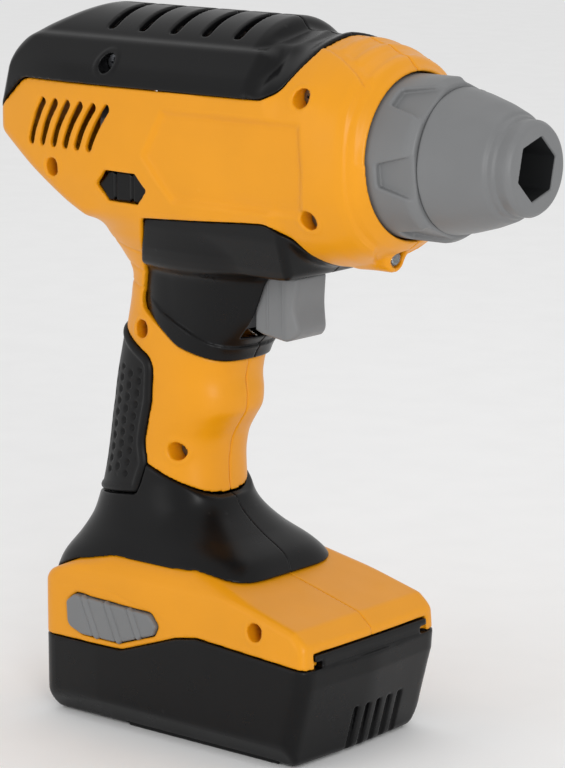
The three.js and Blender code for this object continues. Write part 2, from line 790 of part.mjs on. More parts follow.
function pack() {
  const group = new THREE.Group();
  const hole = rodZ(SCREW_SHANK_R + 0.3, -5, 10).translate([DOOR_SCREW.x, DOOR_SCREW.y, 0]);
  const plate = block(DOOR.x0, DOOR.x1, -DOOR.half, DOOR.half, 0, DOOR_THICK);
  group.add(node("pack_case", packCase(), black));
  const sink = rodZ(2.3 + GAP, -1, 0.9 + GAP).translate([DOOR_SCREW.x, DOOR_SCREW.y, 0]);
  group.add(node("battery_door", cut(plate, hole, sink), black));
  const head = rodZ(2.3, 0.05, 0.9);
  const shank = rodZ(SCREW_SHANK_R, 0.5, 8);
  const doorScrew = node("door_screw", union(head, shank), steel);
  doorScrew.position.set(DOOR_SCREW.x, DOOR_SCREW.y, 0);
  group.add(doorScrew);
  CELL_X.forEach((x, i) => {
    const can = rodY(0, 0, CELL_R, -CELL_LENGTH / 2, CELL_LENGTH / 2 - 1, 14);
    const pip = rodY(0, 0, 2.6, 0, CELL_LENGTH / 2, 8);
    const cell = node(`cell_${i + 1}`, union(can, pip), wrap);
    cell.position.set(x, 0, CELL_Z);
    const coil = node(`contact_spring_${i + 1}`, contactSpring(), steel);
    coil.position.set(x, -CELL_LENGTH / 2 - GAP, CELL_Z);
    group.add(cell, coil);
  });
  const bar = block(CELL_X[0] - 5, CELL_X[2] + 5, 0, 0.6, CELL_Z - 4, CELL_Z + 4);
  const plateLeft = node("contact_plate", bar, brass);
  plateLeft.position.y = CELL_LENGTH / 2 + GAP;
  group.add(plateLeft);
  [-1, 1].forEach((side) => {
    const strip = block(-44, -30, side * 8 - 2.5, side * 8 + 2.5, 0, 0.6);
    const blade = node(side < 0 ? "pack_terminal_right" : "pack_terminal_left", strip, brass);
    blade.position.z = 24.4 + GAP;
    group.add(blade);
  });
  return group;
}

// A cone that stands for the coil pressed against a cell, its wide end on the wall.
function contactSpring() {
  const profile = [new THREE.Vector2(0, 0)];
  profile.push(new THREE.Vector2(2, 0));
  profile.push(new THREE.Vector2(3.8, -CONTACT_REACH), new THREE.Vector2(0, -CONTACT_REACH));
  return solid(new THREE.LatheGeometry(profile.reverse(), 12));
}

function footTerminals() {
  return [-1, 1].map((side) => {
    const finger = [
      [-41, 27, 0],
      [-36, 25.6, 0],
      [-31, 27, 0],
      [-31, 39, 0],
      [-31.8, 39, 0],
      [-31.8, 27.6, 0],
      [-36, 26.4, 0],
      [-41, 27.8, 0],
    ];
    const name = side < 0 ? "foot_terminal_right" : "foot_terminal_left";
    return node(name, prismY(finger, side * 8 - 2, side * 8 + 2), brass);
  });
}

// ---- Release buttons, one each side of the foot ----
function coilSpring(radius, wire, length, turns) {
  class Helix extends THREE.Curve {
    getPoint(t, target = new THREE.Vector3()) {
      const angle = 2 * Math.PI * turns * t;
      return target.set(radius * Math.cos(angle), radius * Math.sin(angle), t * length);
    }
  }
  const section = new THREE.Shape();
  section.absarc(0, 0, wire / 2, 0, 2 * Math.PI);
  const options = { steps: turns * 6, extrudePath: new Helix(), curveSegments: 2, bevelEnabled: false };
  return new THREE.ExtrudeGeometry(section, options);
}

function releaseButton(side) {
  const name = side < 0 ? "right" : "left";
  const face = prismY(RELEASE_OUTLINE, -FOOT_HALF - 0.1, -FOOT_HALF + 4, 3);
  const flange = block(-44, -12, -FOOT_HALF + WALL + 1.4, -FOOT_HALF + 4, 28, 35.5);
  const grooves = [-34, -25, -16].map((x) =>
    prismY(
      [
        [x - 1.6, 39, 0],
        [x + 3.6, 26, 0],
        [x + 4.2, 26, 0],
        [x - 1.0, 39, 0],
      ],
      -FAR,
      -FOOT_HALF + 0.5,
    ),
  );
  const button = node(`release_button_${name}`, cut(union(face, flange), ...grooves), grey);
  const coil = coilSpring(3, 0.8, 6, 4).rotateX(-Math.PI / 2);
  const spring = node(`release_spring_${name}`, solid(coil), steel);
  spring.position.set(-26, -FOOT_HALF + 4 + 0.7, 31.5);
  const group = new THREE.Group();
  group.add(button, spring);
  group.scale.y = -side;
  return group;
}

// ---- Trigger ----
const TRIGGER_SIDE = [
  [TRIGGER_REAR, 122.5, 0],
  [16.4, 120.4, 1.5],
  [23.5, 118.9, 3],
  [27.2, 121.5, 2.5],
  [25.8, 129, 8],
  [27, 137.6, 0.6],
  [18.2, 137.8, 0.6],
  [TRIGGER_REAR, 135.5, 0],
];

function trigger() {
  const pad = prismY(TRIGGER_SIDE, -TRIGGER_HALF, TRIGGER_HALF, 3);
  const chamfer = prismZ(
    [
      [0, -TRIGGER_HALF, 0],
      [25, -TRIGGER_HALF, 2],
      [28, -TRIGGER_HALF + 3, 1],
      [28, TRIGGER_HALF - 3, 1],
      [25, TRIGGER_HALF, 2],
      [0, TRIGGER_HALF, 0],
    ],
    0,
    FAR,
  );
  const stem = rodX(0, 129, 1.8, 2, 14, 12);
  return node("trigger", union(pad.intersect(chamfer), stem), grey);
}

const SWITCH = { x0: -14, x1: 5, half: 7, z0: 120, z1: 136 };

function triggerParts() {
  const well = rodX(0, 129, 3.4, SWITCH.x1 - 7.5 - TRIGGER_TRAVEL, FAR, 14);
  const body = cut(block(SWITCH.x0, SWITCH.x1, -SWITCH.half, SWITCH.half, SWITCH.z0, SWITCH.z1), well);
  const coil = coilSpring(2.6, 0.7, SWITCH.x1 + 0.5, 5).rotateY(Math.PI / 2);
  const spring = node("trigger_spring", solid(coil), steel);
  spring.position.set(SWITCH.x1 - TRIGGER_TRAVEL + 0.4, 0, 129);
  return [trigger(), node("trigger_switch", body, plastic(0x2b2b30, 0.5)), spring];
}

// ---- Direction button ----
const BOLT_RECESS = 2; // how far the right end sits inside the barrel at rest

function directionParts() {
  const end = inset(HEX_WINDOW, FIT);
  const right = prismY(end, -BARREL_HALF + BOLT_RECESS, -BARREL_HALF + 8);
  const left = prismY(end, BARREL_HALF - 8, BARREL_HALF + BOLT_RECESS);
  const bar = block(-25, -18, -BARREL_HALF + 7, BARREL_HALF - 7, 158.2, 161.4);
  const grooves = [-24.8, -18].map((x) =>
    union(
      block(x - 0.5, x + 0.5, -FAR, -BARREL_HALF + BOLT_RECESS + 0.7, 150, 170),
      block(x - 0.5, x + 0.5, BARREL_HALF + BOLT_RECESS - 0.7, FAR, 150, 170),
    ),
  );
  const button = node("direction_button", cut(union(right, left, bar), ...grooves), black);
  const slider = block(-24, -19, -6, 6, 151.6, 157.4);
  return [button, node("direction_switch", slider, plastic(0x2b2b30, 0.5))];
}

// ---- Motor and gears ----
const GEAR_CENTRES = (GEAR_MODULE * (PINION_TEETH + LAY_LARGE_TEETH)) / 2;
const LAY_Z = AXIS_Z + GEAR_CENTRES;

// A spur gear between x0 and x1 on its own axis; phase is in teeth.
function gear(teeth, x0, x1, phase, bore) {
  const pitchR = (GEAR_MODULE * teeth) / 2;
  const tip = pitchR + 0.55 * GEAR_MODULE;
  const base = pitchR - 0.95 * GEAR_MODULE;
  const shape = new THREE.Shape();
  const step = (2 * Math.PI) / teeth;
  const places = [
    [-0.3, base],
    [-0.12, tip],
    [0.12, tip],
    [0.3, base],
  ];
  for (let i = 0; i < teeth; i++) {
    places.forEach(([share, r], k) => {
      const angle = (i + phase + share) * step;
      const at = [r * Math.cos(angle), r * Math.sin(angle)];
      if (i === 0 && k === 0) shape.moveTo(...at);
      else shape.lineTo(...at);
    });
  }
  shape.closePath();
  const wheel = new THREE.ExtrudeGeometry(shape, { depth: x1 - x0, bevelEnabled: false });
  const body = solid(wheel.applyMatrix4(TO_X).translate(x0, 0, 0));
  return bore ? cut(body, rodX(0, 0, bore, x0 - 1, x1 + 1, 16)) : body;
}

function gearTrain() {
  const cover = gearboxCover();
  const pinionTeeth = gear(PINION_TEETH, -17.5, -10.5, 0.5, 0);
  const pieces = [
    ["motor", motorBody(), steel, AXIS_Z],
    ["motor_pinion", union(pinionTeeth, rodX(0, 0, 1, -24, -17, 8)), brass, AXIS_Z],
    ["gearbox_plate", gearboxPlate(), plastic(0x3a3a3e, 0.5), AXIS_Z],
    ["gearbox_cover", cover, plastic(0x3a3a3e, 0.5), AXIS_Z],
    ["layshaft_pin", rodX(0, 0, 1.2, -20.4, 2.4, 10), steel, LAY_Z],
    ["layshaft_gear", layshaftGear(), white, LAY_Z],
    ["output_gear", gear(OUTPUT_TEETH, -8.6, -4, 0, 0), white, AXIS_Z],
    ["output_spindle", rodX(0, 0, SPINDLE_R, -3.7, 83, 18), steel, AXIS_Z],
  ];
  return pieces.map(([name, body, material, z]) => {
    const mesh = node(name, body, material);
    mesh.position.z = z;
    return mesh;
  });
}

function layshaftGear() {
  const large = gear(LAY_LARGE_TEETH, -16, -11, 0, 0);
  const small = gear(LAY_SMALL_TEETH, -11.2, -3.6, 0.5, 0);
  return cut(union(large, small), rodX(0, 0, 1.2 + FIT, -20, 0, 12));
}

function motorBody() {
  const can = rodX(0, 0, 10.2, -46, -21, 24);
  const flats = block(-47, -20, -FAR, FAR, -8.4, 8.4);
  return cut(can.intersect(flats), rodX(0, 0, 1.3, -25, -20, 8));
}

// Both gear axes inside one rounded outline, in Y and Z from the spindle.
function gearboxOutline(radius) {
  return [
    [-radius, -radius, radius],
    [radius, -radius, radius],
    [radius, GEAR_CENTRES + radius, radius],
    [-radius, GEAR_CENTRES + radius, radius],
  ];
}

function gearboxPlate() {
  const plate = prismX(gearboxOutline(13.4), -20.2, -18.2, 4);
  return cut(plate, rodX(0, 0, 1.4, -22, -16, 8), rodX(0, GEAR_CENTRES, 1.5, -22, -16, 10));
}

function gearboxCover() {
  const outer = prismX(gearboxOutline(13.4), -17.9, 2, 4);
  const inner = prismX(gearboxOutline(12), -19, 0, 4);
  const shaftHole = rodX(0, 0, SPINDLE_R + FIT, -5, 5, 18);
  return cut(outer, inner, shaftHole, rodX(0, GEAR_CENTRES, 1.5, -5, 5, 10));
}

// ---- Nose: bearing plate, bush, work light ----
const NOSE_PLATE_X = 53;
const BUSH_R = 8;
const LENS_REAR_X = 50.4;

function noseParts() {
  const disc = rodX(0, 0, 23, NOSE_PLATE_X, NOSE_PLATE_X + 2, 28);
  const plate = cut(disc, rodX(0, 0, BUSH_R + GAP, 50, 60, 18));
  const bushForm = rodX(0, 0, BUSH_R, NOSE_PLATE_X - 3, NOSE_PLATE_X + 3, 18);
  const bush = cut(bushForm, rodX(0, 0, SPINDLE_R + FIT, 40, 60, 18));
  const lens = union(
    rodX(0, 0, 2.3, LENS_REAR_X, LENS_REAR_X + 6.6, 12),
    rodX(0, 0, 2.65, LENS_REAR_X, LENS_REAR_X + 1, 12),
  );
  const boardBody = block(LENS_REAR_X - 1.5, LENS_REAR_X - 0.5, -2.6, 2.6, -2, 3);
  const pieces = [
    ["nose_plate", plate, plastic(0x3a3a3e, 0.5), AXIS_Z],
    ["front_bush", bush, brass, AXIS_Z],
    ["work_light_lens", lens, clear, AXIS_Z - 29.3],
    ["work_light_board", boardBody, board, AXIS_Z - 27],
  ];
  return pieces.map(([name, body, material, z]) => {
    const mesh = node(name, body, material);
    mesh.position.z = z;
    return mesh;
  });
}

// ---- Chuck ----
const POCKETS = 6;
const POCKET_PHASE = THREE.MathUtils.degToRad(200);
const POCKET_FLOOR = 20.9;
const CONE_REAR_X = 64;
const SOCKET_LEAN = THREE.MathUtils.degToRad(17);

function chuckSleeve() {
  const profile = [
    [58, 0],
    [58, SLEEVE_R - 1],
    [59, SLEEVE_R],
    [76.5, SLEEVE_R],
    [SLEEVE_FRONT_X, SLEEVE_R - 1.6],
    [SLEEVE_FRONT_X, 0],
  ];
  const bore = turned(
    [
      [57, 0],
      [57, SPINDLE_R + GAP],
      [CONE_REAR_X, SPINDLE_R + GAP],
      [CONE_REAR_X, POCKET_FLOOR - 2.4],
      [SLEEVE_FRONT_X + 1, POCKET_FLOOR - 2.4],
      [SLEEVE_FRONT_X + 1, 0],
    ],
    28,
  );
  const pocket = [
    [67.5, -2.8, 0],
    [SLEEVE_FRONT_X + 1, -5.6, 0],
    [SLEEVE_FRONT_X + 1, 5.6, 0],
    [67.5, 2.8, 0],
  ];
  const pockets = [];
  for (let i = 0; i < POCKETS; i++) {
    const tool = extrude(pocket, 8, 2).translate(0, 0, POCKET_FLOOR);
    tool.rotateX(-Math.PI / 2 + POCKET_PHASE + (i * 2 * Math.PI) / POCKETS);
    pockets.push(solid(tool));
  }
  return cut(turned(profile, 28), bore, ...pockets);
}

function chuckNose() {
  const profile = [
    [CONE_REAR_X + GAP, 0],
    [CONE_REAR_X + GAP, POCKET_FLOOR - 2.7],
    [SLEEVE_FRONT_X + GAP, POCKET_FLOOR - 2.7],
    [SLEEVE_FRONT_X + GAP, 20.4],
    [88, 18.6],
    [95, 16.3],
    [99, 14.6],
    [99.6, 13.4],
    [CHUCK_FRONT_X - 1, 13.3],
    [CHUCK_FRONT_X, 12.4],
    [CHUCK_FRONT_X, 0],
  ];
  const hexagon = [];
  for (let i = 0; i < 6; i++) {
    const angle = Math.PI / 2 - SOCKET_LEAN + (i * Math.PI) / 3;
    const r = SOCKET_FLATS / Math.sqrt(3);
    hexagon.push([r * Math.cos(angle), r * Math.sin(angle), 0]);
  }
  const socketRear = CHUCK_FRONT_X - SOCKET_DEPTH;
  const spindleSeat = rodX(0, 0, SPINDLE_R + GAP, 60, 84, 18);
  return cut(turned(profile, 28), spindleSeat, prismX(hexagon, socketRear + 5, FAR));
}

function chuck() {
  const group = new THREE.Group();
  group.position.z = AXIS_Z;
  group.add(node("chuck_sleeve", chuckSleeve(), grey), node("chuck_nose", chuckNose(), grey));
  return group;
}

// ---- Assembly ----
const root = new THREE.Group();
root.add(...housings(), ...topCovers(), ...throats(), gripPad(), ...collars(), ...feet());
root.add(pack(), ...footTerminals(), releaseButton(-1), releaseButton(1));
root.add(...triggerParts(), ...directionParts(), ...gearTrain(), ...noseParts(), chuck());
for (const [place, spec] of Object.entries(HOUSING_SCREWS)) root.add(screw(`screw_${place}`, spec));
root.add(screw("screw_cover", COVER_SCREW), screw("screw_foot", FOOT_SCREW));
export default root;
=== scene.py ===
import json
import math

import bpy
import numpy as np
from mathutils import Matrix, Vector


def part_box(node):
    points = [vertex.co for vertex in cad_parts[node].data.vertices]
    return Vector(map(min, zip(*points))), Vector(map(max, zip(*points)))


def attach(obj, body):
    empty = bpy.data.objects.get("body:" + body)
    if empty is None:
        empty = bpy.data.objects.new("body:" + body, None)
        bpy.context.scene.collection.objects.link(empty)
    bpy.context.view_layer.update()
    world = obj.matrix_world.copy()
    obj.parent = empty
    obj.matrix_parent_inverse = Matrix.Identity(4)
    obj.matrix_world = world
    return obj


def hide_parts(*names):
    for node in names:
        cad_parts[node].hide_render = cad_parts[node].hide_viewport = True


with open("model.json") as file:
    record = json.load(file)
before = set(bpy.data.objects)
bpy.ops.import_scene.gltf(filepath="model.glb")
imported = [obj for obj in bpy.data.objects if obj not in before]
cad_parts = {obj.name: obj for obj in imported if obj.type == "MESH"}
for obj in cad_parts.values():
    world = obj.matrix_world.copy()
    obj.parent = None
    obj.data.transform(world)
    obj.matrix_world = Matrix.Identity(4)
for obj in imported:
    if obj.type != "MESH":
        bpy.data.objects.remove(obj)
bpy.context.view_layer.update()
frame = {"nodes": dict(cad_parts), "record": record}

import openvdb
from mathutils import Vector

# A child's cordless drill. Shapes are distance fields in millimetres, negative inside,
# meshed at their zero surface. +X is the chuck's way, +Y left, +Z up.

MM = 0.001


def span(node):
    """Lowest and highest corner of a CAD node, in millimetres."""
    low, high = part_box(node)
    return [v / MM for v in low], [v / MM for v in high]


# ---- Driving sizes, from the frame ----
SLEEVE_LOW, SLEEVE_HIGH = span("chuck_sleeve")
SPINDLE_LOW, SPINDLE_HIGH = span("output_spindle")
FOOT_LOW, FOOT_HIGH = span("foot_right")
TRIGGER_LOW, TRIGGER_HIGH = span("trigger")

AXIS_Z = (SPINDLE_LOW[2] + SPINDLE_HIGH[2]) / 2
SLEEVE_R = SLEEVE_HIGH[2] - AXIS_Z
SLEEVE_FRONT = SLEEVE_HIGH[0]
CHUCK_FRONT = span("chuck_nose")[1][0]
FOOT_HALF = -FOOT_LOW[1]
FOOT_REAR = FOOT_LOW[0]
FOOT_FRONT = FOOT_HIGH[0]
PACK_REAR = span("pack_case")[0][0]
TRIGGER_HALF = TRIGGER_HIGH[1]

# ---- Driving sizes of the mouldings ----
WALL = 2.2
GAP = 0.3  # between neighbouring mouldings
FIT = 0.35  # round a piece that slides
EDGE = 0.35  # rounding of a moulding's cut edge
BARREL_HALF = 29  # half width of the barrel
GRIP_HALF = 17  # half width of the handle
SCREW_HOLE_R = 2.7
SCREW_POST = 1.3  # wall of the post round a screw hole
SCREW_SEAT = 2  # from the face of a screw's head to the end of its hole
SPINDLE_HOLE_R = 4.3
HALF_GAP = 0.02  # between a half and the parting plane
HALF_EDGE = 0.06
SIDES = ((-1, "right"), (1, "left"))
FAR = 150  # reaches past everything, for cutting tools


# ---- Space and fields ----
class Room:
    """A box of space on a regular grid."""

    def __init__(self, low, high, step):
        self.step = step
        self.low = np.array(low, dtype=float) - 2 * step
        count = np.ceil((np.array(high) - self.low) / step).astype(int) + 3
        axes = [a + step * np.arange(n) for a, n in zip(self.low, count)]
        x, y, z = (axis.astype(np.float32) for axis in axes)
        self.x = x[:, None, None]
        self.y = y[None, :, None]
        self.z = z[None, None, :]
        self.shape = tuple(count)


def meet(a, b, radius=0.0):
    """Where both are; their edge is rounded."""
    if not radius:
        return np.maximum(a, b)
    over_a = np.maximum(a + radius, 0)
    over_b = np.maximum(b + radius, 0)
    return np.minimum(np.maximum(a, b), -radius) + np.sqrt(over_a * over_a + over_b * over_b)


def join(a, b, radius=0.0):
    """Where either is; their inner corner is filleted."""
    return -meet(-a, -b, radius)


def carve(a, b, radius=0.0):
    """Where a is and b isn't."""
    return meet(a, -b, radius)


def step_up(value, low, high):
    """Rises smoothly from 0 at low to 1 at high."""
    t = np.clip((value - low) / (high - low), 0, 1)
    return t * t * (3 - 2 * t)


def outline(corners, pieces=7):
    """Points along a closed outline whose corners [a, b, radius] are rounded."""
    ring = []
    for i, corner in enumerate(corners):
        here = np.array(corner[:2], float)
        back = np.array(corners[i - 1][:2], float) - here
        on = np.array(corners[(i + 1) % len(corners)][:2], float) - here
        lengths = math.hypot(*back), math.hypot(*on)
        radius = corner[2] if len(corner) > 2 else 0
        if not radius:
            ring.append(here)
            continue
        cosine = np.dot(back, on) / (lengths[0] * lengths[1])
        half = math.acos(max(-1.0, min(1.0, cosine))) / 2
        reach = min(radius / math.tan(half), 0.48 * min(lengths))
        start = here + back / lengths[0] * reach
        end = here + on / lengths[1] * reach
        for t in np.linspace(0, 1, pieces + 1):
            ring.append((1 - t) ** 2 * start + 2 * t * (1 - t) * here + t * t * end)
    return ring


def flat(corners, u, v):
    """Distance to an outline at every pair of the coordinates u and v."""
    u, v = np.broadcast_arrays(u.reshape(-1, 1), v.reshape(1, -1))
    ring = outline(corners)
    nearest = np.full(u.shape, np.inf, np.float32)
    inside = np.zeros(u.shape, bool)
    for (a, b), (c, d) in zip(ring, ring[1:] + ring[:1]):
        length = (c - a) ** 2 + (d - b) ** 2
        if length < 1e-9:
            continue
        t = np.clip(((u - a) * (c - a) + (v - b) * (d - b)) / length, 0, 1)
        nearest = np.minimum(nearest, (u - a - t * (c - a)) ** 2 + (v - b - t * (d - b)) ** 2)
        if b != d:
            inside ^= ((v < b) != (v < d)) & (u < a + (v - b) * (c - a) / (d - b))
    return (np.where(inside, -1, 1) * np.sqrt(nearest)).astype(np.float32)


def side(room, corners):
    """An outline in X and Z, endless along Y."""
    return flat(corners, room.x, room.z)[:, None, :]


def section(room, corners):
    """An outline in Y and Z, endless along X. Corners are given for +Y, from the top down."""
    whole = list(corners) + [(-c[0],) + tuple(c[1:]) for c in reversed(corners) if c[0] > 0]
    return flat(whole, room.y, room.z)[None, :, :]


def plan(room, corners):
    """An outline in X and Y, endless along Z. Corners are given for +Y, from rear to front."""
    whole = list(corners) + [(c[0], -c[1]) + tuple(c[2:]) for c in reversed(corners) if c[1] > 0]
    return flat(whole, room.x, room.y)[:, :, None]


def stroke(room, points, radius):
    """A round-ended groove or rib along points in X and Z, endless along Y."""
    nearest = np.inf
    for (a, b), (c, d) in zip(points, points[1:]):
        length = (c - a) ** 2 + (d - b) ** 2
        t = np.clip(((room.x - a) * (c - a) + (room.z - b) * (d - b)) / length, 0, 1)
        away = (room.x - a - t * (c - a)) ** 2 + (room.z - b - t * (d - b)) ** 2
        nearest = np.minimum(nearest, away)
    return np.sqrt(nearest) - radius


def lathe(room, corners):
    """A profile [x, radius, rounding] turned about the spindle."""
    fine = 0.2
    away = np.sqrt(room.y**2 + (room.z - AXIS_Z) ** 2)[0]
    table = flat(corners, room.x, np.arange(0, away.max() + 2 * fine, fine, dtype=np.float32))
    place = away / fine
    index = place.astype(int)
    share = (place - index).astype(np.float32)
    return table[:, index] * (1 - share) + table[:, index + 1] * share


def block(room, x0, x1, y0, y1, z0, z1, radius=0.0):
    """A box with rounded edges."""
    middle = ((x0 + x1) / 2, (y0 + y1) / 2, (z0 + z1) / 2)
    half = ((x1 - x0) / 2, (y1 - y0) / 2, (z1 - z0) / 2)
    along = [np.abs(a - m) - h for a, m, h in zip((room.x, room.y, room.z), middle, half)]
    return meet(meet(along[0], along[1], radius), along[2], radius)


def rod_x(room, y, z, radius):
    """A cylinder along X."""
    return np.sqrt((room.y - y) ** 2 + (room.z - z) ** 2) - radius


def rod_y(room, x, z, radius):
    """A cylinder along Y."""
    return np.sqrt((room.x - x) ** 2 + (room.z - z) ** 2) - radius


def between(value, low, high):
    """Negative where a value lies between two limits."""
    return np.maximum(low - value, value - high)


def spline(knots, values, at):
    """A smooth curve through the values at the knots."""
    knots, values = np.array(knots, float), np.array(values, float)
    slope = np.gradient(values, knots)
    i = np.clip(np.searchsorted(knots, at) - 1, 0, len(knots) - 2)
    width = knots[i + 1] - knots[i]
    t = np.clip((at - knots[i]) / width, 0, 1)
    start = values[i] * (1 + 2 * t) * (1 - t) ** 2 + slope[i] * width * t * (1 - t) ** 2
    end = values[i + 1] * t * t * (3 - 2 * t) + slope[i + 1] * width * t * t * (t - 1)
    return (start + end).astype(np.float32)


def loft(room, rows, square=2.6, grow=0.0):
    """Rounded sections stacked up Z: rows of [z, rear x, front x, half width, squareness]."""
    z = room.z.ravel()
    rows = [tuple(row) + (square,) * (5 - len(row)) for row in rows]
    knots, rear, front, half, square = zip(*rows)
    rear, front, half, square = (spline(knots, v, z) for v in (rear, front, half, square))
    a = (front - rear) / 2 + grow
    b = half + grow
    u = np.abs(room.x - (front + rear) / 2) / a + 1e-4
    v = np.abs(room.y) / b + 1e-4
    total = u**square + v**square
    size = total ** (1 / square)
    slope = (total / size) ** -1 * np.sqrt(
        (u ** (square - 1) / a) ** 2 + (v ** (square - 1) / b) ** 2
    )
    return ((size - 1) / slope).astype(np.float32)


def shell(field):
    """The outer wall of a form."""
    return np.maximum(field, -(field + WALL))


def half_room(which, x, half, z, step):
    """The space round the right (-1) or left (+1) half of a moulding."""
    y = (min(which, 0) * half - 1, max(which, 0) * half + 1)
    return Room((x[0], y[0], z[0]), (x[1], y[1], z[1]), step)


def half_of(room, field, which):
    """The right (-1) or left (+1) half, cut at the parting plane."""
    return meet(field, HALF_GAP - which * room.y, HALF_EDGE)


# ---- From a field to a piece ----
def piece_from(name, field, room, material, body, slot, *nodes):
    """Meshes a field, and makes it ride on its body in place of its CAD nodes."""
    band = 3 * room.step
    values = np.broadcast_to(field, room.shape).clip(-band, band).astype(np.float32)
    for axis in range(3):
        ends = [slice(None)] * 3
        for ends[axis] in (0, -1):
            values[tuple(ends)] = band
    grid = openvdb.FloatGrid(band)
    grid.copyFromArray(np.ascontiguousarray(values))
    points, quads = grid.convertToQuads(0.0)
    points = (points * room.step + room.low) * MM
    mesh = bpy.data.meshes.new(name)
    mesh.vertices.add(len(points))
    mesh.vertices.foreach_set("co", points.astype(np.float32).ravel())
    mesh.loops.add(quads.size)
    mesh.loops.foreach_set("vertex_index", quads.astype(np.int32).ravel())
    mesh.polygons.add(len(quads))
    mesh.polygons.foreach_set("loop_start", np.arange(0, quads.size, 4, dtype=np.int32))
    mesh.update(calc_edges=True)
    mesh.validate()
    mesh.shade_smooth()
    mesh.materials.append(material)
    made = bpy.data.objects.new(name, mesh)
    bpy.context.scene.collection.objects.link(made)
    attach(made, body)
    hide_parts(*nodes)
    return made


# ---- Materials ----
def noise(nodes, links, coordinates, scale, detail):
    """A cloudy value round 0.5."""
    node = nodes.new("ShaderNodeTexNoise")
    node.inputs["Scale"].default_value = scale
    node.inputs["Detail"].default_value = detail
    links.new(coordinates, node.inputs["Vector"])
    return node.outputs["Fac"]


def ranged(nodes, links, value, low, high):
    """The middle of a noise, stretched to run from low to high."""
    node = nodes.new("ShaderNodeMapRange")
    node.inputs["From Min"].default_value = 0.3
    node.inputs["From Max"].default_value = 0.7
    node.inputs["To Min"].default_value = low
    node.inputs["To Max"].default_value = high
    links.new(value, node.inputs["Value"])
    return node.outputs["Result"]


def linear(channel):
    """An 8-bit sRGB channel as linear light."""
    channel /= 255
    return channel / 12.92 if channel <= 0.04045 else ((channel + 0.055) / 1.055) ** 2.4


WORN_FROM, WORN_TO = 0.52, 0.62  # pointiness over which an edge turns pale
CLOUDS = (45, 3)  # scale and detail
PATCHES = (120, 4)
FINE_DETAIL = 2


def finish(name, colour, rough, grain=0.04, bump=0.1, shift=0.05, metallic=0.0, specular=0.5,
           clear=0.0, coat=0.0, worn=0.015, smear=0.04):
    """Moulded plastic or metal: cloudy colour, uneven gloss, fine grain, paler worn edges."""
    material = bpy.data.materials.new(name)
    material.use_nodes = True
    nodes, links = material.node_tree.nodes, material.node_tree.links
    shader = nodes["Principled BSDF"]
    place = nodes.new("ShaderNodeTexCoord").outputs["Object"]
    base = [linear(c) for c in colour]
    clouds = noise(nodes, links, place, *CLOUDS)
    mix = nodes.new("ShaderNodeMix")
    mix.data_type = "RGBA"
    mix.inputs["A"].default_value = [c * (1 - shift) for c in base] + [1]
    mix.inputs["B"].default_value = [min(c * (1 + shift), 1) for c in base] + [1]
    links.new(ranged(nodes, links, clouds, 0, 1), mix.inputs["Factor"])
    edges = nodes.new("ShaderNodeNewGeometry").outputs["Pointiness"]
    edge = nodes.new("ShaderNodeMapRange")
    edge.inputs["From Min"].default_value = WORN_FROM
    edge.inputs["From Max"].default_value = WORN_TO
    edge.inputs["To Max"].default_value = worn * 4
    links.new(edges, edge.inputs["Value"])
    pale = nodes.new("ShaderNodeMix")
    pale.data_type = "RGBA"
    pale.inputs["B"].default_value = [min(c + 0.12 + c * 0.2, 1) for c in base] + [1]
    links.new(edge.outputs["Result"], pale.inputs["Factor"])
    links.new(mix.outputs["Result"], pale.inputs["A"])
    links.new(pale.outputs["Result"], shader.inputs["Base Color"])
    patches = noise(nodes, links, place, *PATCHES)
    links.new(ranged(nodes, links, patches, rough - smear, rough + smear),
              shader.inputs["Roughness"])
    fine = noise(nodes, links, place, 1.0 / (grain * 10 * MM), FINE_DETAIL)
    relief = nodes.new("ShaderNodeBump")
    relief.inputs["Strength"].default_value = bump
    relief.inputs["Distance"].default_value = 0.05 * MM
    links.new(fine, relief.inputs["Height"])
    links.new(relief.outputs["Normal"], shader.inputs["Normal"])
    shader.inputs["Metallic"].default_value = metallic
    shader.inputs["Specular IOR Level"].default_value = specular
    shader.inputs["Transmission Weight"].default_value = clear
    shader.inputs["Coat Weight"].default_value = coat
    return material


YELLOW = finish("yellow_plastic", (229, 151, 8), 0.38, shift=0.03, specular=0.35)
BLACK = finish("black_plastic", (12, 12, 13), 0.3, shift=0.12, specular=0.2)
SOFT = finish("soft_black", (13, 13, 14), 0.45, grain=0.03, bump=0.3, shift=0.15, specular=0.22)
GREY = finish("grey_plastic", (116, 117, 118), 0.42, specular=0.4)
DARK = finish("dark_plastic", (48, 48, 52), 0.5, shift=0.1)
ACETAL = finish("white_acetal", (226, 222, 210), 0.4)
STEEL = finish("steel", (120, 122, 126), 0.4, metallic=1, grain=0.02, bump=0.3)
BRASS = finish("brass", (198, 160, 84), 0.34, metallic=1, grain=0.02, bump=0.3)
LENS = finish("lens", (226, 232, 236), 0.08, clear=0.85)
BOARD = finish("board", (38, 92, 52), 0.5, shift=0.2)
WRAP = finish("cell_wrap", (58, 84, 122), 0.3, coat=0.4)
# Dark grey for the deep faces inside the chuck's hex socket: painted shade, standing in for the
# shadow down the socket
SOCKET_PAINTED_SHADE = finish("socket_painted_shade", (34, 35, 36), 0.6, specular=0.2, worn=0)
SLOT_FINISH = {
    "yellow_shell": YELLOW,
    "black_shell": BLACK,
    "black_soft": SOFT,
    "grey_plastic": GREY,
    "dark_plastic": DARK,
    "white_acetal": ACETAL,
    "steel": STEEL,
    "brass": BRASS,
    "lens": LENS,
    "board": BOARD,
    "cell_wrap": WRAP,
}


# ---- Screw holes, on the right side ----
HOUSING_SCREWS = ["nose_upper", "nose_lower", "rear", "handle_upper", "handle_lower"]


def screw_place(name):
    """Middle of a screw in X and Z, and the Y of its head's face."""
    low, high = span("screw_" + name)
    return (low[0] + high[0]) / 2, (low[2] + high[2]) / 2, low[1]


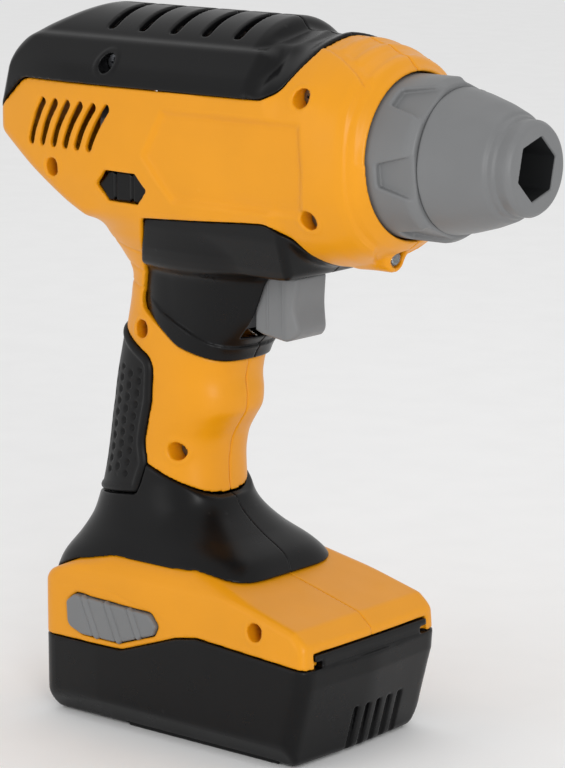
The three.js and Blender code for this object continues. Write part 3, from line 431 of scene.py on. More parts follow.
def with_screws(room, form, body, names, which):
    """Adds a post for each screw inside the form, and its hole from the right side."""
    for name in names:
        x, z, face = screw_place(name)
        column = rod_y(room, x, z, SCREW_HOLE_R + SCREW_POST)
        body = join(body, meet(form, column), 0.6)
        if which < 0:
            hole = meet(rod_y(room, x, z, SCREW_HOLE_R), room.y - (face + SCREW_SEAT))
            body = carve(body, hole, EDGE)
    return body


# ---- Barrel ----
BARREL_REAR = -75.5
BARREL_LOWER = [
    (BARREL_REAR, 173, 4),
    (-46.5, 154.2, 8),
    (-40, 150.5, 4),
    (33, 150.5, 4),
    (40, 138),
    (70, 138),
    (70, 230),
    (BARREL_REAR, 230),
]
SEAM = [
    (BARREL_REAR, 179.6, 3),
    (-62.2, 190.4, 9),
    (31, 190.8, 5),
    (36.5, 193.4, 6),
    (41.3, 204, 4),
    (41, 208.8, 3),
    (37, 213),
    (37, 230),
]
COVER_ZONE = [(-90, 230), (-90, 179.6)] + SEAM
BARREL_SECTION = [
    (0, 211.3),
    (16, 207.8, 10),
    (BARREL_HALF, 194, 12),
    (BARREL_HALF, 164, 14),
    (25, 151, 14),
    (18, 138),
    (0, 136),
]
REAR_HALF = 23.6  # half width of the barrel's rear end
TAPER_X = -58  # where the barrel reaches its full width
NOSE_FRONT = 65.3
NOSE_DOME = [
    (-90, -5),
    (-90, 62),
    (28, 62),
    (36, 33.6, 3),
    (45, 32.8, 10),
    (51, 31.6, 10),
    (57, 29.6, 8),
    (62, 27, 6),
    (NOSE_FRONT, 24.4, 1),
    (NOSE_FRONT, -5),
]
PANEL = [
    (-5.3, 186, 2),
    (-13.5, 171.6, 2),
    (-1.8, 158.2, 2),
    (45.5, 158.2, 1),
    (47, 171, 30),
    (45.5, 186, 1),
]
PANEL_DEPTH = 1.3
PANEL_BEVEL = 2.6
LAMP_Z = AXIS_Z - 29.3
LAMP_BOSS_R = 4.2
LAMP_FRONT = 57.2
LAMP_HOLE_R = 2.7
LAMP_ROUND = 1.4
SPINE_RIBS = (47.5, 54, 60.5)
RIB_HEIGHT = 0.6
BEZEL_X = 59.6  # rear edge of the nose's front ring
BEZEL_DEPTH = 0.7
BEZEL_LINE = 0.4  # depth of the line along the bezel's edge
NOSE_REAR = 40


def barrel(room):
    """The barrel's outer form, from the rear end to the nose's dome."""
    body = meet(section(room, BARREL_SECTION), taper(room), 10)
    body = meet(body, side(room, BARREL_LOWER), 4)
    return meet(body, lathe(room, NOSE_DOME), 5)


def taper(room):
    """The barrel narrows in plan towards its rear end."""
    slope = (BARREL_HALF - REAR_HALF) / (TAPER_X - BARREL_REAR)
    reach = np.abs(room.y) - BARREL_HALF - (room.x - TAPER_X) * slope
    return reach / math.hypot(1, slope)


def lamp_boss(room):
    """The boss under the nose that holds the work light."""
    rod = rod_x(room, 0, LAMP_Z, LAMP_BOSS_R)
    return meet(rod, between(room.x, 44, LAMP_FRONT), LAMP_ROUND)


def bezel_zone(room):
    """Negative in the nose's sunken middle strip and in its front ring."""
    above = np.abs(room.y) - (14 + (room.x - 44) * 0.28)
    below = np.abs(room.y) - (16 - (62 - room.x) * 1.3)
    strip = np.where(room.z > AXIS_Z, above, below)
    return np.minimum(BEZEL_X - room.x, strip)


def nose_relief(room):
    """Depth by which the nose's bezel lies lower than its cheeks, and its spine ribs."""
    zone = bezel_zone(room)
    sunk = BEZEL_DEPTH * (1 - step_up(zone, -0.35, 0.15)) * (room.x > NOSE_REAR)
    line = BEZEL_LINE * (1 - step_up(np.abs(zone), 0, 0.5)) * (room.x > NOSE_REAR)
    ribs = 0
    for x in SPINE_RIBS:
        ribs = ribs + RIB_HEIGHT * (1 - step_up(np.abs(room.x - x), 0.3, 2.4))
    on_top = (1 - step_up(zone, -3.2, -1.6)) * (room.z > AXIS_Z)
    return sunk + line + (RIB_HEIGHT / 2 - ribs) * on_top


# ---- Handle ----
HANDLE_ROWS = [
    (58, -50, -1, GRIP_HALF + 1.5),
    (66, -48.4, -3.6, GRIP_HALF + 0.4),
    (74.5, -46.2, -4.6, GRIP_HALF),
    (82, -44.9, -4.4, GRIP_HALF - 0.4),
    (87, -44, -3.2, GRIP_HALF - 0.2),
    (91, -43.4, -0.8, GRIP_HALF),
    (95, -42.8, 1.8, GRIP_HALF),
    (99, -42.2, 2.4, GRIP_HALF),
    (104.7, -41, 1.9, GRIP_HALF),
    (112, -39.3, 3.6, GRIP_HALF),
    (119, -38.1, 6.5, GRIP_HALF - 0.3),
    (128, -36.6, 12, GRIP_HALF - 0.2),
    (135, -36, 15.5, GRIP_HALF + 0.8),
    (140.5, -39.5, 20, GRIP_HALF + 2.6),
    (147, -43.5, 27, GRIP_HALF + 7),
    (156, -46, 33, BARREL_HALF - 2),
]
THROAT_ZONE = [
    (-14.8, 153.2, 1.5),
    (31, 155.9, 8),
    (38.5, 152, 3),
    (43, 142),
    (43, 136),
    (22, 136),
    (15, 112.6),
    (8.5, 110.9, 4),
    (2, 110.6, 10),
    (-10.4, 114.9, 16),
    (-25.9, 125.4, 4),
    (-22, 138.6, 16),
]
PAD_ZONE = [
    (-60, 128),
    (-37.5, 118.6, 1),
    (-28.2, 113.9, 8),
    (-19.8, 109.6, 6),
    (-20.6, 97, 14),
    (-23.8, 84, 10),
    (-22.6, 78, 6),
    (-26, 68.6, 2),
    (-60, 64.4),
]
HANDLE_FLOOR = [
    (-60, 68.6),
    (-25, 79, 3),
    (-16, 75.2, 8),
    (-9.5, 72.4, 8),
    (-3, 68.8, 3),
    (30, 68.8),
    (30, 30),
    (-60, 30),
]
TANG_STEPS = [
    [(-44, 145.2), (-15, 140.5)],
    [(-42, 138.6), (-17, 134.6)],
    [(-38, 132.2), (-19, 129.4)],
]
HEX_WINDOW = [
    (-31.4, 161.7, 0.6),
    (-27.4, 157.2, 0.6),
    (-15.3, 157.2, 0.6),
    (-11.3, 161.7, 0.6),
    (-15.3, 166.2, 0.6),
    (-27.4, 166.2, 0.6),
]
VENTS = {"count": 6, "half": 1.25, "top": (-53.6, 183.9), "low": (-59.3, 172.1), "bow": 0.7}
VENT_PITCH = (5.45, 5.1)  # at the top and at the bottom
TANG_LINE = 0.4  # depth of the lines across the tang


def vents(room):
    """Bowed slots that fan out a little towards the top."""
    (x0, z0), (x1, z1) = VENTS["low"], VENTS["top"]
    nearest = np.inf
    for i in range(VENTS["count"]):
        points = []
        for t in np.linspace(0, 1, 6):
            bow = VENTS["bow"] * 4 * t * (1 - t)
            shift = i * (VENT_PITCH[1] * (1 - t) + VENT_PITCH[0] * t)
            points.append((x0 + (x1 - x0) * t - bow + shift, z0 + (z1 - z0) * t))
        nearest = np.minimum(nearest, stroke(room, points, VENTS["half"]))
    return nearest


def housing_form(room):
    """Barrel, nose and handle in one, with their relief."""
    form = join(barrel(room), loft(room, HANDLE_ROWS), 4)
    panel = side(room, PANEL)
    form = form + PANEL_DEPTH * (1 - step_up(panel, -PANEL_BEVEL, 0)) * (room.z > 156)
    form = join(form + nose_relief(room), lamp_boss(room), 2)
    for line in TANG_STEPS:
        form = form + TANG_LINE * (1 - step_up(stroke(room, line, 0), 0.15, 0.6))
    return form


def housing(which, name, node):
    room = half_room(which, (-76, 67), 31, (60, 211), 0.5)
    form = housing_form(room)
    body = with_screws(room, form, shell(form), HOUSING_SCREWS, which)
    for zone in (COVER_ZONE, THROAT_ZONE, PAD_ZONE, HANDLE_FLOOR):
        body = carve(body, side(room, zone) - GAP / 2, EDGE)
    body = carve(body, meet(vents(room), 20 - np.abs(room.y)), EDGE)
    body = carve(body, side(room, HEX_WINDOW), EDGE)
    mouth = meet(rod_x(room, 0, AXIS_Z, SLEEVE_R + 0.5), 50 - room.x)
    body = carve(body, mouth, 0.6)
    body = carve(body, meet(rod_x(room, 0, LAMP_Z, LAMP_HOLE_R), 50 - room.x), 0.4)
    body = half_of(room, body, which)
    return piece_from(name, body, room, YELLOW, "body", "yellow_shell", node)


for which, word in SIDES:
    housing(which, word + "_housing", "housing_" + word)


# ---- Top cover ----
COVER_LOW, COVER_HIGH = span("top_cover_right")
CROWN_Z = 183.9
CROWN_R = COVER_HIGH[2] - CROWN_Z - 0.02
CROWN_FRONT = 24.5
CROWN_FLOOR = 196
SHOULDER_FRONT = 28.5
COVER_SIDE = [
    (COVER_LOW[0], 170),
    (COVER_LOW[0], 180.5, 4),
    (-71, 195, 10),
    (-62, 204.4, 12),
    (-48, 213.5, 16),
    (-30, 220),
    (70, 220),
    (70, 170),
]
SHOULDER_SECTION = [
    (0, 205),
    (21.4, 203.4, 4),
    (BARREL_HALF, 194, 10),
    (BARREL_HALF, 170),
    (0, 170),
]
SKIRT_DEPTH = 3.4
SKIRT_REACH = 9
CROWN_SLOTS = {"count": 5, "first": -35, "pitch": 11.95, "width": 3, "half": 16.9, "floor": 200}


def cover_form(room):
    """Crown and shoulders, over a skirt that runs on from the barrel."""
    zone = side(room, COVER_ZONE)
    skirt = barrel(room) + SKIRT_DEPTH * step_up(-zone, 0, SKIRT_REACH)
    shoulder = meet(section(room, SHOULDER_SECTION), room.x - SHOULDER_FRONT, 4)
    crown = meet(rod_x(room, 0, CROWN_Z, CROWN_R), room.x - CROWN_FRONT, 4)
    crown = meet(crown, CROWN_FLOOR - room.z)
    form = join(join(shoulder, crown, 0.8), skirt, 2)
    form = meet(form, side(room, COVER_SIDE), 3)
    return meet(form, taper(room), 6)


def cover(which, name, node):
    room = half_room(which, (COVER_LOW[0], 46), 30, (178, 212), 0.45)
    form = cover_form(room)
    body = with_screws(room, form, shell(form), ["cover"], which)
    half, reach = CROWN_SLOTS["width"] / 2, CROWN_SLOTS["half"]
    for i in range(CROWN_SLOTS["count"]):
        x = CROWN_SLOTS["first"] + i * CROWN_SLOTS["pitch"]
        ends = [(x - half, reach, half), (x + half, reach, half)]
        slot = plan(room, [(x - half, 0), *ends, (x + half, 0)])
        body = carve(body, meet(slot, CROWN_SLOTS["floor"] - room.z), 0.5)
    body = meet(body, side(room, COVER_ZONE) + GAP / 2, EDGE)
    return piece_from(name, half_of(room, body, which), room, BLACK, "body", "black_shell", node)


# ---- Throat round the trigger ----
NECK_ROWS = [
    (104, -32, 2.6, GRIP_HALF + 0.5),
    (110, -32, 4.4, GRIP_HALF + 0.5),
    (114, -32, 6.4, GRIP_HALF + 0.4),
    (119, -32, 11, GRIP_HALF + 0.3),
    (124, -32, 15, GRIP_HALF + 0.4),
    (130, -32, 18, GRIP_HALF + 0.8),
    (136.5, -32, 20.5, GRIP_HALF + 1.6),
    (144, -32, 24, GRIP_HALF + 3.8),
]
THROAT_SIDE = [(-40, 175), (-40, 138.6, 3), (30, 138.6, 6), (42.4, 140.6, 1), (42.4, 175)]
THROAT_SECTION = [
    (0, 175),
    (BARREL_HALF, 175),
    (BARREL_HALF, 164, 14),
    (25, 151, 14),
    (20.6, 141.8, 5),
    (18.6, 138.6, 1.2),
    (0, 138.6),
]
NECK_PANEL = [
    (-30, 136),
    (-21.6, 127.4, 1),
    (-16.7, 124.3, 8),
    (-7, 119.9, 10),
    (0.5, 116.2, 6),
    (4.4, 115, 4),
    (9, 114.8),
    (30, 114.8),
    (30, 150),
    (-30, 150),
]
PANEL_SUNK = 0.9
WINDOW_HALF = TRIGGER_HALF + 0.4
WINDOW = {"rear": 5.6, "low": 118.3, "high": 138.4}


def throat(which, name, node):
    room = half_room(which, (-26, 44), 29, (109, 157), 0.4)
    upper = meet(side(room, THROAT_SIDE), section(room, THROAT_SECTION), 1.2)
    upper = meet(upper, lathe(room, NOSE_DOME), 2)
    sunk = 1 - step_up(side(room, NECK_PANEL), -0.5, 0.1)
    fade = step_up(room.x, -24, -12) * (1 - step_up(room.z, 134, 140))
    neck = loft(room, NECK_ROWS, 2.3) + PANEL_SUNK * sunk * fade
    form = join(upper, neck, 5)
    body = meet(shell(form), side(room, THROAT_ZONE) + GAP / 2, EDGE)
    window = block(room, WINDOW["rear"], FAR, -WINDOW_HALF, WINDOW_HALF,
                   WINDOW["low"], WINDOW["high"])
    body = carve(body, window, 0.5)
    return piece_from(name, half_of(room, body, which), room, BLACK, "body", "black_shell", node)


# ---- Grip pad ----
DIMPLES = {
    "row": 3.6,
    "column": 3.4,
    "half_width": 0.8,
    "half_height": 1.35,
    "depth": 0.8,
    "low": 73.5,
    "high": 106,
}
PAD_PROUD = 0.45


def grip_pad():
    room = Room((-53, -19, 60), (-18, 19, 122), 0.4)
    zone = side(room, PAD_ZONE) + GAP / 2
    form = loft(room, HANDLE_ROWS, grow=PAD_PROUD)
    form = form - PAD_PROUD * (1 - step_up(np.abs(zone + 1.5), 0.3, 1.3))
    middle = spline([60, 90, 120], [-27, -21, -15], room.z.ravel())
    round_it = np.arctan2(room.y, -(room.x - middle)) * GRIP_HALF
    column = np.round(round_it / DIMPLES["column"])
    shift = np.abs(column % 2) * DIMPLES["row"] / 2
    across = round_it - column * DIMPLES["column"]
    down = (room.z - shift) % DIMPLES["row"] - DIMPLES["row"] / 2
    spot = np.hypot(across / DIMPLES["half_width"], down / DIMPLES["half_height"]) - 1
    inside = step_up(-zone, 3.2, 4) * step_up(room.z, DIMPLES["low"] - 1, DIMPLES["low"])
    inside = inside * (1 - step_up(room.z, DIMPLES["high"], DIMPLES["high"] + 1))
    form = form + DIMPLES["depth"] * (1 - step_up(spot, -0.7, 0.1)) * inside
    body = meet(shell(form), zone, 0.8)
    return piece_from("rear_grip_pad", body, room, SOFT, "body", "black_soft", "grip_pad")


# ---- Foot form, and the line where the pack slides on ----
SLIDE_SLOPE = -0.0628
STEP_X = 8.6
STEP_Z = 33.3
FOOT_SIDE = [
    (FOOT_REAR, 0),
    (FOOT_REAR, 41.2, 3),
    (-41, 48.4, 10),
    (-28, 52.2, 12),
    (4, 52.1, 8),
    (44, 41.3, 3),
    (FOOT_FRONT - 2.4, 37.2, 2.5),
    (FOOT_FRONT, 15),
    (FOOT_FRONT, 0),
]
FOOT_PLAN = [
    (FOOT_REAR, 0),
    (FOOT_REAR + 2.6, FOOT_HALF - 2, 7),
    (-30, FOOT_HALF, 10),
    (FOOT_FRONT - 1.7, FOOT_HALF - 0.7, 5.5),
    (FOOT_FRONT, 0, 60),
]
FOOT_SECTION = [
    (0, 57, 30),
    (24, 55.4, 8),
    (FOOT_HALF - 1.8, 46, 6),
    (FOOT_HALF, 30, 8),
    (FOOT_HALF, -20),
    (0, -20),
]
JOINT_LINE = [(FOOT_REAR - 9, 23.6), (-20.5, 24.6, 6), (0.5, 31.9, 4), (STEP_X, STEP_Z, 4)]
TONGUE = {"neck": 22.6, "head": 25.6, "low": 1.9, "high": 3.9, "rear": 6, "front": 49.5}


def slide_z(x):
    """Height of the line along which the pack slides."""
    return STEP_Z + SLIDE_SLOPE * (x - STEP_X)


def above_joint(room):
    """Negative above the line between foot and pack."""
    beyond = [(70, slide_z(70)), (70, FAR), (JOINT_LINE[0][0], FAR)]
    return side(room, JOINT_LINE + beyond)


def slide_bar(room, x0, x1, y0, y1, low, high, radius=0.0):
    """A bar along the way the pack slides, its heights measured from that line."""
    lift = room.z - slide_z(room.x)
    bar = meet(between(lift, low, high), between(room.x, x0, x1), radius)
    return meet(bar, between(room.y, y0, y1), radius)


def foot_form(room):
    """The foot's outer form."""
    form = meet(side(room, FOOT_SIDE), plan(room, FOOT_PLAN), 2.5)
    return meet(form, section(room, FOOT_SECTION), 3.2)


# ---- Collar between handle and foot ----
PAD_SEAT = {"front": -43, "low": 66.2}  # room for the lower end of the grip pad
COLLAR_ROWS = [
    (36, -58.2, 23, 30, 5),
    (43, -56.2, 20.6, 29, 5),
    (48, -54.2, 19.2, 28, 4.8),
    (54, -51.6, 16, 25, 3.6),
    (59, -50, 7.6, 21.6, 3),
    (65, -48.8, 0, 19, 2.7),
    (71, -47.4, -3.1, 17.8, 2.6),
    (80, -46, -3.8, 17.4, 2.6),
]


def collar(which, name, node):
    room = half_room(which, (-59, 22), 30, (40, 79), 0.4)
    form = loft(room, COLLAR_ROWS)
    body = meet(shell(form), side(room, HANDLE_FLOOR) + GAP / 2, 0.6)
    body = carve(body, foot_form(room) - GAP, 0.5)
    body = carve(body, side(room, PAD_ZONE) - GAP / 2, EDGE)
    seat = block(room, -60, PAD_SEAT["front"], -FAR, FAR, PAD_SEAT["low"], 90)
    body = carve(body, seat, EDGE)
    return piece_from(name, half_of(room, body, which), room, BLACK, "body", "black_shell", node)


# ---- Foot ----
RELEASE_OUTLINE = [
    (-42.2, 36, 1.5),
    (-39.2, 38.4, 1.5),
    (-9.2, 37.4, 1.5),
    (-6.4, 34.2, 1.2),
    (-7.6, 31.4, 1.2),
    (-21.5, 26.6, 3),
    (-36, 26.6, 4),
    (-41.8, 28.6, 3),
]
CREASE = [(-46, 38.9), (-36, 41.2), (-26, 41.4), (-4, 36.4)]
CREASE_DEPTH = 0.14
NECK_WELL = {"front": 12, "half": 12, "low": 44}  # opening under the collar
RAIL = {"front": 47.5, "half": 9}
REAR_DIMPLES = {"y": 22, "half": 1.4, "radius": 1.2, "low": 31, "high": 33.5}


def foot(which, name, node):
    room = half_room(which, (FOOT_REAR, FOOT_FRONT), FOOT_HALF, (22, 53), 0.45)
    form = foot_form(room)
    crease = 1 - step_up(stroke(room, CREASE, 0), 0.1, 0.7)
    form = form + CREASE_DEPTH * crease * (np.abs(room.y) > 28)
    body = with_screws(room, form, shell(form), ["foot"], which)
    neck, head = TONGUE["neck"] + FIT, TONGUE["head"] + FIT
    roof = TONGUE["high"] + FIT
    body = carve(body, slide_bar(room, 40, 70, -head, head, -5, roof), EDGE)
    outer, half = which * FOOT_HALF, RAIL["half"]
    rail = slide_bar(room, TONGUE["rear"], RAIL["front"], outer - half, outer + half,
                     GAP / 2, TONGUE["low"] - FIT)
    body = join(body, meet(rail, form), 0.3)
    body = meet(body, above_joint(room) + GAP / 2, EDGE)
    body = carve(body, slide_bar(room, TONGUE["rear"] - 1, 70, -neck, neck, -9, roof), EDGE)
    well = NECK_WELL["half"]
    body = carve(body, block(room, -60, NECK_WELL["front"], -well, well, NECK_WELL["low"], 60))
    body = carve(body, side(room, RELEASE_OUTLINE) - FIT, EDGE)
    ends = [(FOOT_REAR - 0.5, REAR_DIMPLES["low"]), (FOOT_REAR - 0.5, REAR_DIMPLES["high"])]
    across = np.abs(np.abs(room.y) - REAR_DIMPLES["y"]) - REAR_DIMPLES["half"]
    body = carve(body, meet(stroke(room, ends, REAR_DIMPLES["radius"]), across), EDGE)
    return piece_from(name, half_of(room, body, which), room, YELLOW, "body", "yellow_shell", node)


# ---- Battery pack ----
PACK_SIDE = [(PACK_REAR, 60), (PACK_REAR, 8.5, 4), (-50.2, 0, 2.5), (70, 0), (70, 60)]
PACK_FRONT = ([0, 8, 17, 25, 34, 45], [43.8, 46, 48.4, 50.6, FOOT_FRONT, FOOT_FRONT])  # z, x
PACK_SECTION = [(0, 60), (FOOT_HALF, 60), (FOOT_HALF, 8.5, 5), (26, 0, 2.5), (0, 0)]
FRONT_SLOTS = {"count": 5, "first": -4.6, "pitch": 5.2, "half": 1, "top": 14.4, "rear": 42.2}
SLOT_RAKE = 0.22  # how far the slots' floor leans out per height
DOOR_LOW, DOOR_HIGH = span("battery_door")
DOOR_GROOVES = {"count": 5, "pitch": 5, "half": 0.8, "reach": 14, "depth": 0.5}


def raked_plan(room):
    """The foot's plan, with its front drawn in towards the floor."""
    heights, fronts = PACK_FRONT
    z = room.z.ravel()
    layers = []
    for front in fronts:
        pulled = [(x * front / FOOT_FRONT if x > 0 else x,) + tuple(rest) for x, *rest in FOOT_PLAN]
        layers.append(plan(room, pulled)[:, :, 0])
    place = np.interp(z, heights, np.arange(len(heights)))
    index = np.minimum(place.astype(int), len(heights) - 2)
    share = (place - index).astype(np.float32)
    layers = np.stack(layers, axis=-1)
    return layers[:, :, index] * (1 - share) + layers[:, :, index + 1] * share


def pack_case():
    room = Room((PACK_REAR, -FOOT_HALF, 0), (FOOT_FRONT, FOOT_HALF, 38), 0.5)
    form = meet(raked_plan(room), side(room, PACK_SIDE), 2.5)
    form = meet(form, section(room, PACK_SECTION), 1.2)
    below = -above_joint(room)
    body = carve(meet(form, below + GAP / 2, EDGE), meet(form + WALL, below + WALL))
    opening = block(room, DOOR_LOW[0] - GAP, DOOR_HIGH[0] + GAP, DOOR_LOW[1] - GAP,
                    DOOR_HIGH[1] + GAP, -1, WALL + 1)
    body = carve(body, opening, EDGE)
    for i in range(FRONT_SLOTS["count"]):
        y = FRONT_SLOTS["first"] + i * FRONT_SLOTS["pitch"]
        half = FRONT_SLOTS["half"]
        rake = (room.x - FRONT_SLOTS["rear"]) - SLOT_RAKE * room.z - 0.02 * (24 - np.abs(y))
        tool = meet(meet(-rake, np.abs(room.y - y) - half, 0.4), room.z - FRONT_SLOTS["top"], 0.6)
        body = carve(body, tool, 0.5)
    rear, front = TONGUE["rear"], TONGUE["front"]
    neck, head = TONGUE["neck"], TONGUE["head"]
    stem = slide_bar(room, rear, front, -neck, neck, -1, TONGUE["low"] + 0.5, 0.3)
    bar = slide_bar(room, rear, front, -head, head, TONGUE["low"], TONGUE["high"], 0.4)
    tongue = join(stem, bar, 0.3)
    body = join(body, meet(tongue, plan(room, FOOT_PLAN) + 0.4, 0.4), 0.2)
    return piece_from("pack_shell", body, room, BLACK, "pack", "black_shell", "pack_case")


def pack_door():
    room = Room(DOOR_LOW, DOOR_HIGH, 0.4)
    middle = (DOOR_LOW[0] + DOOR_HIGH[0]) / 2
    (x0, y0, z0), (x1, y1, z1) = DOOR_LOW, DOOR_HIGH
    body = block(room, x0, x1, y0, y1, z0, z1, 0.5)
    half, reach = DOOR_GROOVES["half"], DOOR_GROOVES["reach"]
    for i in range(DOOR_GROOVES["count"]):
        x = middle + (i - DOOR_GROOVES["count"] // 2) * DOOR_GROOVES["pitch"]
        groove = block(room, x - half, x + half, -reach, reach, -2, DOOR_GROOVES["depth"], 0.3)
        body = carve(body, groove, 0.3)
    screw_low, screw_high = span("door_screw")
    at = [(a + b) / 2 for a, b in zip(screw_low, screw_high)]
    away = np.sqrt((room.x - at[0]) ** 2 + (room.y - at[1]) ** 2)
    body = carve(body, np.minimum(away - 1.6, np.maximum(away - 2.7, room.z - 1.2)), 0.2)
    return piece_from("pack_door", body, room, BLACK, "pack", "black_shell", "battery_door")


# ---- Release buttons ----
RELEASE_RIDGES = (-34, -25, -16)
RELEASE_DEPTH = (0.35, 4.1)  # of its face and its back, from the outermost point


def release_button(which, name, node, body_name):
    low, high = span(node)
    room = Room(low, high, 0.3)
    outer = abs(low[1]) if which < 0 else high[1]
    depth = outer - which * room.y
    face = meet(side(room, RELEASE_OUTLINE), between(depth, *RELEASE_DEPTH), 0.7)
    edge = meet(between(room.x, -44, -12), between(room.z, 28, 35.5))
    flange = meet(between(depth, RELEASE_DEPTH[1] - 0.5, RELEASE_DEPTH[1]), edge)
    for x in RELEASE_RIDGES:
        ridge = stroke(room, [(x - 1.9, 39.6), (x + 4.4, 25.4)], 0)
        face = face - 0.45 * (1 - step_up(ridge, 0.1, 0.8)) * (depth < 2)
        face = face + 0.3 * (1 - step_up(np.abs(ridge - 1.3), 0.1, 0.6)) * (depth < 2)
    form = meet(join(face, flange), -depth)
    return piece_from(name, form, room, GREY, body_name, "grey_plastic", node)


# ---- Trigger ----
TRIGGER_SIDE = [
    (12, 121.2),
    (14.5, 120.2, 2),
    (23.8, 118.9, 3),
    (27.3, 121.4, 3),
    (25.6, 129, 12),
    (27, 137.6, 0.8),
    (12, 137.6),
]
TRIGGER_PLAN = [
    (0, 0),
    (0, TRIGGER_HALF),
    (23.8, TRIGGER_HALF, 1.2),
    (27.6, TRIGGER_HALF - 2.6, 2),
    (27.9, 0, 20),
]
STEM_Z = 129
STEM_R = 1.8


def trigger():
    room = Room(TRIGGER_LOW, TRIGGER_HIGH, 0.25)
    body = meet(side(room, TRIGGER_SIDE), plan(room, TRIGGER_PLAN), 1)
    stem = meet(rod_x(room, 0, STEM_Z, STEM_R), between(room.x, TRIGGER_LOW[0], 14), 0.3)
    body = join(body, stem, 0.8)
    return piece_from("finger_trigger", body, room, GREY, "trigger", "grey_plastic", "trigger")


# ---- Direction button ----
BUTTON_GROOVES = (-24.8, -18.4)
BUTTON_BAR = {"x": (-25, -18), "z": (158.2, 161.4)}
BUTTON_INNER = 21  # half the space between the button's two ends


def direction_button():
    low, high = span("direction_button")
    room = Room(low, high, 0.3)
    form = meet(side(room, HEX_WINDOW) + FIT, between(room.y, low[1], high[1]), 0.5)
    for x in BUTTON_GROOVES:
        form = form + 0.7 * (1 - step_up(np.abs(room.x - x), 0.3, 0.9))
    bar = block(room, *BUTTON_BAR["x"], -FAR, FAR, *BUTTON_BAR["z"])
    body = carve(form, meet(np.abs(room.y) - BUTTON_INNER, -bar), 0.3)
    return piece_from("direction_slider", body, room, BLACK, "direction", "black_shell",
                      "direction_button")


# ---- Chuck ----
POCKETS = {
    "count": 6,
    "phase": math.radians(217),
    "floor": 20.9,
    "rear": 67.2,
    "half": 3.1,
    "front_half": 6.2,
}
CONE_REAR = 64
SOCKET = {"flats": 15.6, "depth": 24, "lean": math.radians(17)}
SLEEVE_PROFILE = [
    (SLEEVE_LOW[0], -5),
    (SLEEVE_LOW[0], SLEEVE_R, 1),
    (SLEEVE_FRONT - 2.4, SLEEVE_R, 3),
    (SLEEVE_FRONT, SLEEVE_R - 1.4, 0.8),
    (SLEEVE_FRONT, -5),
]
CONE_TAIL_R = 18.2
SLEEVE_BORE = [
    (50, -5),
    (50, SPINDLE_HOLE_R),
    (CONE_REAR, SPINDLE_HOLE_R),
    (CONE_REAR, CONE_TAIL_R + GAP),
    (90, CONE_TAIL_R + GAP),
    (90, -5),
]
NOSE_PROFILE = [
    (CONE_REAR + GAP, -5),
    (CONE_REAR + GAP, CONE_TAIL_R),
    (SLEEVE_FRONT + 0.06, CONE_TAIL_R),
    (SLEEVE_FRONT + 0.06, 20.5, 0.7),
    (85, 19.3, 20),
    (92, 17.3, 20),
    (97.4, 15.2, 2),
    (98.2, 14.2, 0.6),
    (99.6, 13.9, 0.6),
    (100, 13.2, 0.5),
    (CHUCK_FRONT - 1.6, 13.3, 1),
    (CHUCK_FRONT, 12.2, 1.4),
    (CHUCK_FRONT, -5),
]
SPINDLE_ROOM_END = 84


def chuck_sleeve():
    low = (SLEEVE_LOW[0], -SLEEVE_R, AXIS_Z - SLEEVE_R)
    room = Room(low, (SLEEVE_FRONT, SLEEVE_R, AXIS_Z + SLEEVE_R), 0.35)
    form = carve(lathe(room, SLEEVE_PROFILE), lathe(room, SLEEVE_BORE))
    spread = (POCKETS["front_half"] - POCKETS["half"]) / (SLEEVE_FRONT - POCKETS["rear"])
    for i in range(POCKETS["count"]):
        angle = POCKETS["phase"] + i * 2 * math.pi / POCKETS["count"]
        out = -room.y * math.sin(angle) + (room.z - AXIS_Z) * math.cos(angle)
        across = room.y * math.cos(angle) + (room.z - AXIS_Z) * math.sin(angle)
        flank = (np.abs(across) - POCKETS["half"] - spread * (room.x - POCKETS["rear"])) * 0.97
        tool = meet(meet(flank, POCKETS["rear"] - room.x, 0.6), POCKETS["floor"] - out, 0.4)
        form = carve(form, tool, 0.8)
    return piece_from("chuck_ring", form, room, GREY, "chuck", "grey_plastic", "chuck_sleeve")


def chuck_nose():
    room = Room((CONE_REAR, -20.6, AXIS_Z - 20.6), (CHUCK_FRONT, 20.6, AXIS_Z + 20.6), 0.35)
    form = lathe(room, NOSE_PROFILE)
    hexagon = -np.inf
    for i in range(6):
        angle = SOCKET["lean"] + math.radians(30) + i * math.pi / 3
        out = room.y * math.cos(angle) + (room.z - AXIS_Z) * math.sin(angle)
        hexagon = np.maximum(hexagon, out - SOCKET["flats"] / 2)
    form = carve(form, meet(hexagon, CHUCK_FRONT - SOCKET["depth"] + 5 - room.x), 0.5)
    bore = rod_x(room, 0, AXIS_Z, SPINDLE_HOLE_R)
    form = carve(form, meet(bore, room.x - SPINDLE_ROOM_END))
    made = piece_from("chuck_cone", form, room, GREY, "chuck", "grey_plastic", "chuck_nose")
    # The faces deep inside the hex socket get a dark grey second material: painted shade for the
    # shadow down the socket, not a separate dark part
    made.data.materials.append(SOCKET_PAINTED_SHADE)
    centres = np.empty(len(made.data.polygons) * 3, np.float32)
    made.data.polygons.foreach_get("center", centres)
    x, y, z = centres.reshape(-1, 3).T / MM
    inside = (np.hypot(y, z - AXIS_Z) < SOCKET["flats"] / math.sqrt(3)) & (x < CHUCK_FRONT - 0.7)
    made.data.polygons.foreach_set("material_index", inside.astype(np.int32))
    return made


# ---- Work light lens ----
LENS_R = 2.3
LENS_FLANGE_R = 2.6


def lens():
    low, high = span("work_light_lens")
    room = Room(low, high, 0.15)
    z = (low[2] + high[2]) / 2
    body = meet(rod_x(room, 0, z, LENS_R), between(room.x, low[0], high[0]), 0.9)
    flange = meet(rod_x(room, 0, z, LENS_FLANGE_R), between(room.x, low[0], low[0] + 1), 0.2)
    body = join(body, flange)
    return piece_from("lamp_lens", body, room, LENS, "body", "lens", "work_light_lens")


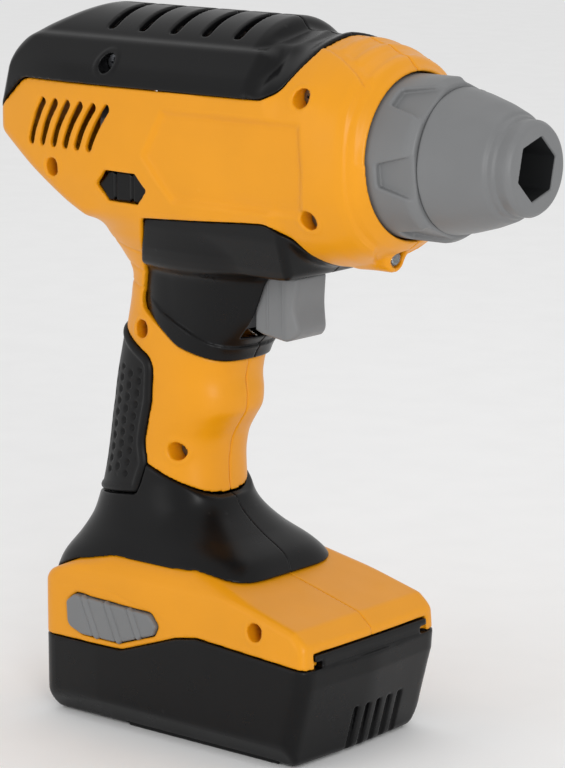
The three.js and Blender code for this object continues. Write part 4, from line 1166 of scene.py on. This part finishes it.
for which, word in SIDES:
    cover(which, word + "_cover", "top_cover_" + word)
    throat(which, word + "_throat", "throat_" + word)
    collar(which, word + "_collar", "collar_" + word)
    foot(which, word + "_foot", "foot_" + word)
    button = "release_button_" + word
    release_button(which, word + "_release", button, "release_" + word)
grip_pad()
pack_case()
pack_door()
trigger()
direction_button()
chuck_sleeve()
chuck_nose()
lens()


# ---- Carried-over CAD nodes ----
SUBPARTS = {part["node"]: part["material_slot"] for part in frame["record"]["subparts"]}
for node_name, node_object in frame["nodes"].items():
    node_object.data.materials.clear()
    node_object.data.materials.append(SLOT_FINISH[SUBPARTS[node_name]])


# ---- Camera, floor and lights ----
CAMERA_TURN = math.radians(39.82)
CAMERA_RISE = math.radians(11.85)
CAMERA_AWAY = 0.9501
CAMERA_AIM = Vector((0.0155, 0, 0.1045))
CAMERA_LENS = 153.65
FLOOR_HALF = 9
WORLD_LIGHT = 0.78
LIGHTS_AIM = (0, 0, 0.12)
LIGHTS = [
    ("key", (1.2, -0.9, 0.45), (0.4, 0.8), 7),
    ("fill", (-0.5, -1.3, 0.35), (0.5, 0.9), 1.5),
    ("top", (0, 0.4, 1.4), (0.8, 0.8), 1),
]


def place_camera():
    """The camera, level, on the drill's right and in front of it."""
    level = math.cos(CAMERA_RISE)
    back = Vector((math.sin(CAMERA_TURN) * level, -math.cos(CAMERA_TURN) * level,
                   math.sin(CAMERA_RISE)))
    data = bpy.data.cameras.new("camera")
    data.lens = CAMERA_LENS
    data.sensor_width = 36
    data.clip_end = 20
    camera = bpy.data.objects.new("camera", data)
    camera.location = CAMERA_AIM + back * CAMERA_AWAY
    camera.rotation_euler = back.to_track_quat("Z", "Y").to_euler()
    bpy.context.scene.collection.objects.link(camera)
    bpy.context.scene.camera = camera


def soft_light(name, place, size, power):
    """A large lamp that faces the drill."""
    data = bpy.data.lights.new(name, "AREA")
    data.shape = "RECTANGLE"
    data.size, data.size_y = size
    data.energy = power
    lamp = bpy.data.objects.new(name, data)
    lamp.location = place
    away = Vector(place) - Vector(LIGHTS_AIM)
    lamp.rotation_euler = away.to_track_quat("Z", "Y").to_euler()
    bpy.context.scene.collection.objects.link(lamp)


def stage():
    """A pale floor under an even sky, and the lamps."""
    mesh = bpy.data.meshes.new("floor")
    corners = [(FLOOR_HALF * a, FLOOR_HALF * b, 0) for a, b in ((-1, -1), (1, -1), (1, 1), (-1, 1))]
    mesh.from_pydata(corners, [], [(0, 1, 2, 3)])
    floor = bpy.data.objects.new("floor", mesh)
    pale = finish("pale_floor", (250, 250, 250), 0.9, shift=0.01, specular=0, worn=0)
    mesh.materials.append(pale)
    bpy.context.scene.collection.objects.link(floor)
    world = bpy.data.worlds.new("studio")
    world.use_nodes = True
    sky = world.node_tree.nodes["Background"].inputs
    sky["Color"].default_value = (1, 1, 1, 1)
    sky["Strength"].default_value = WORLD_LIGHT
    bpy.context.scene.world = world
    bpy.context.scene.view_settings.view_transform = "Standard"
    for light in LIGHTS:
        soft_light(*light)


place_camera()
stage()
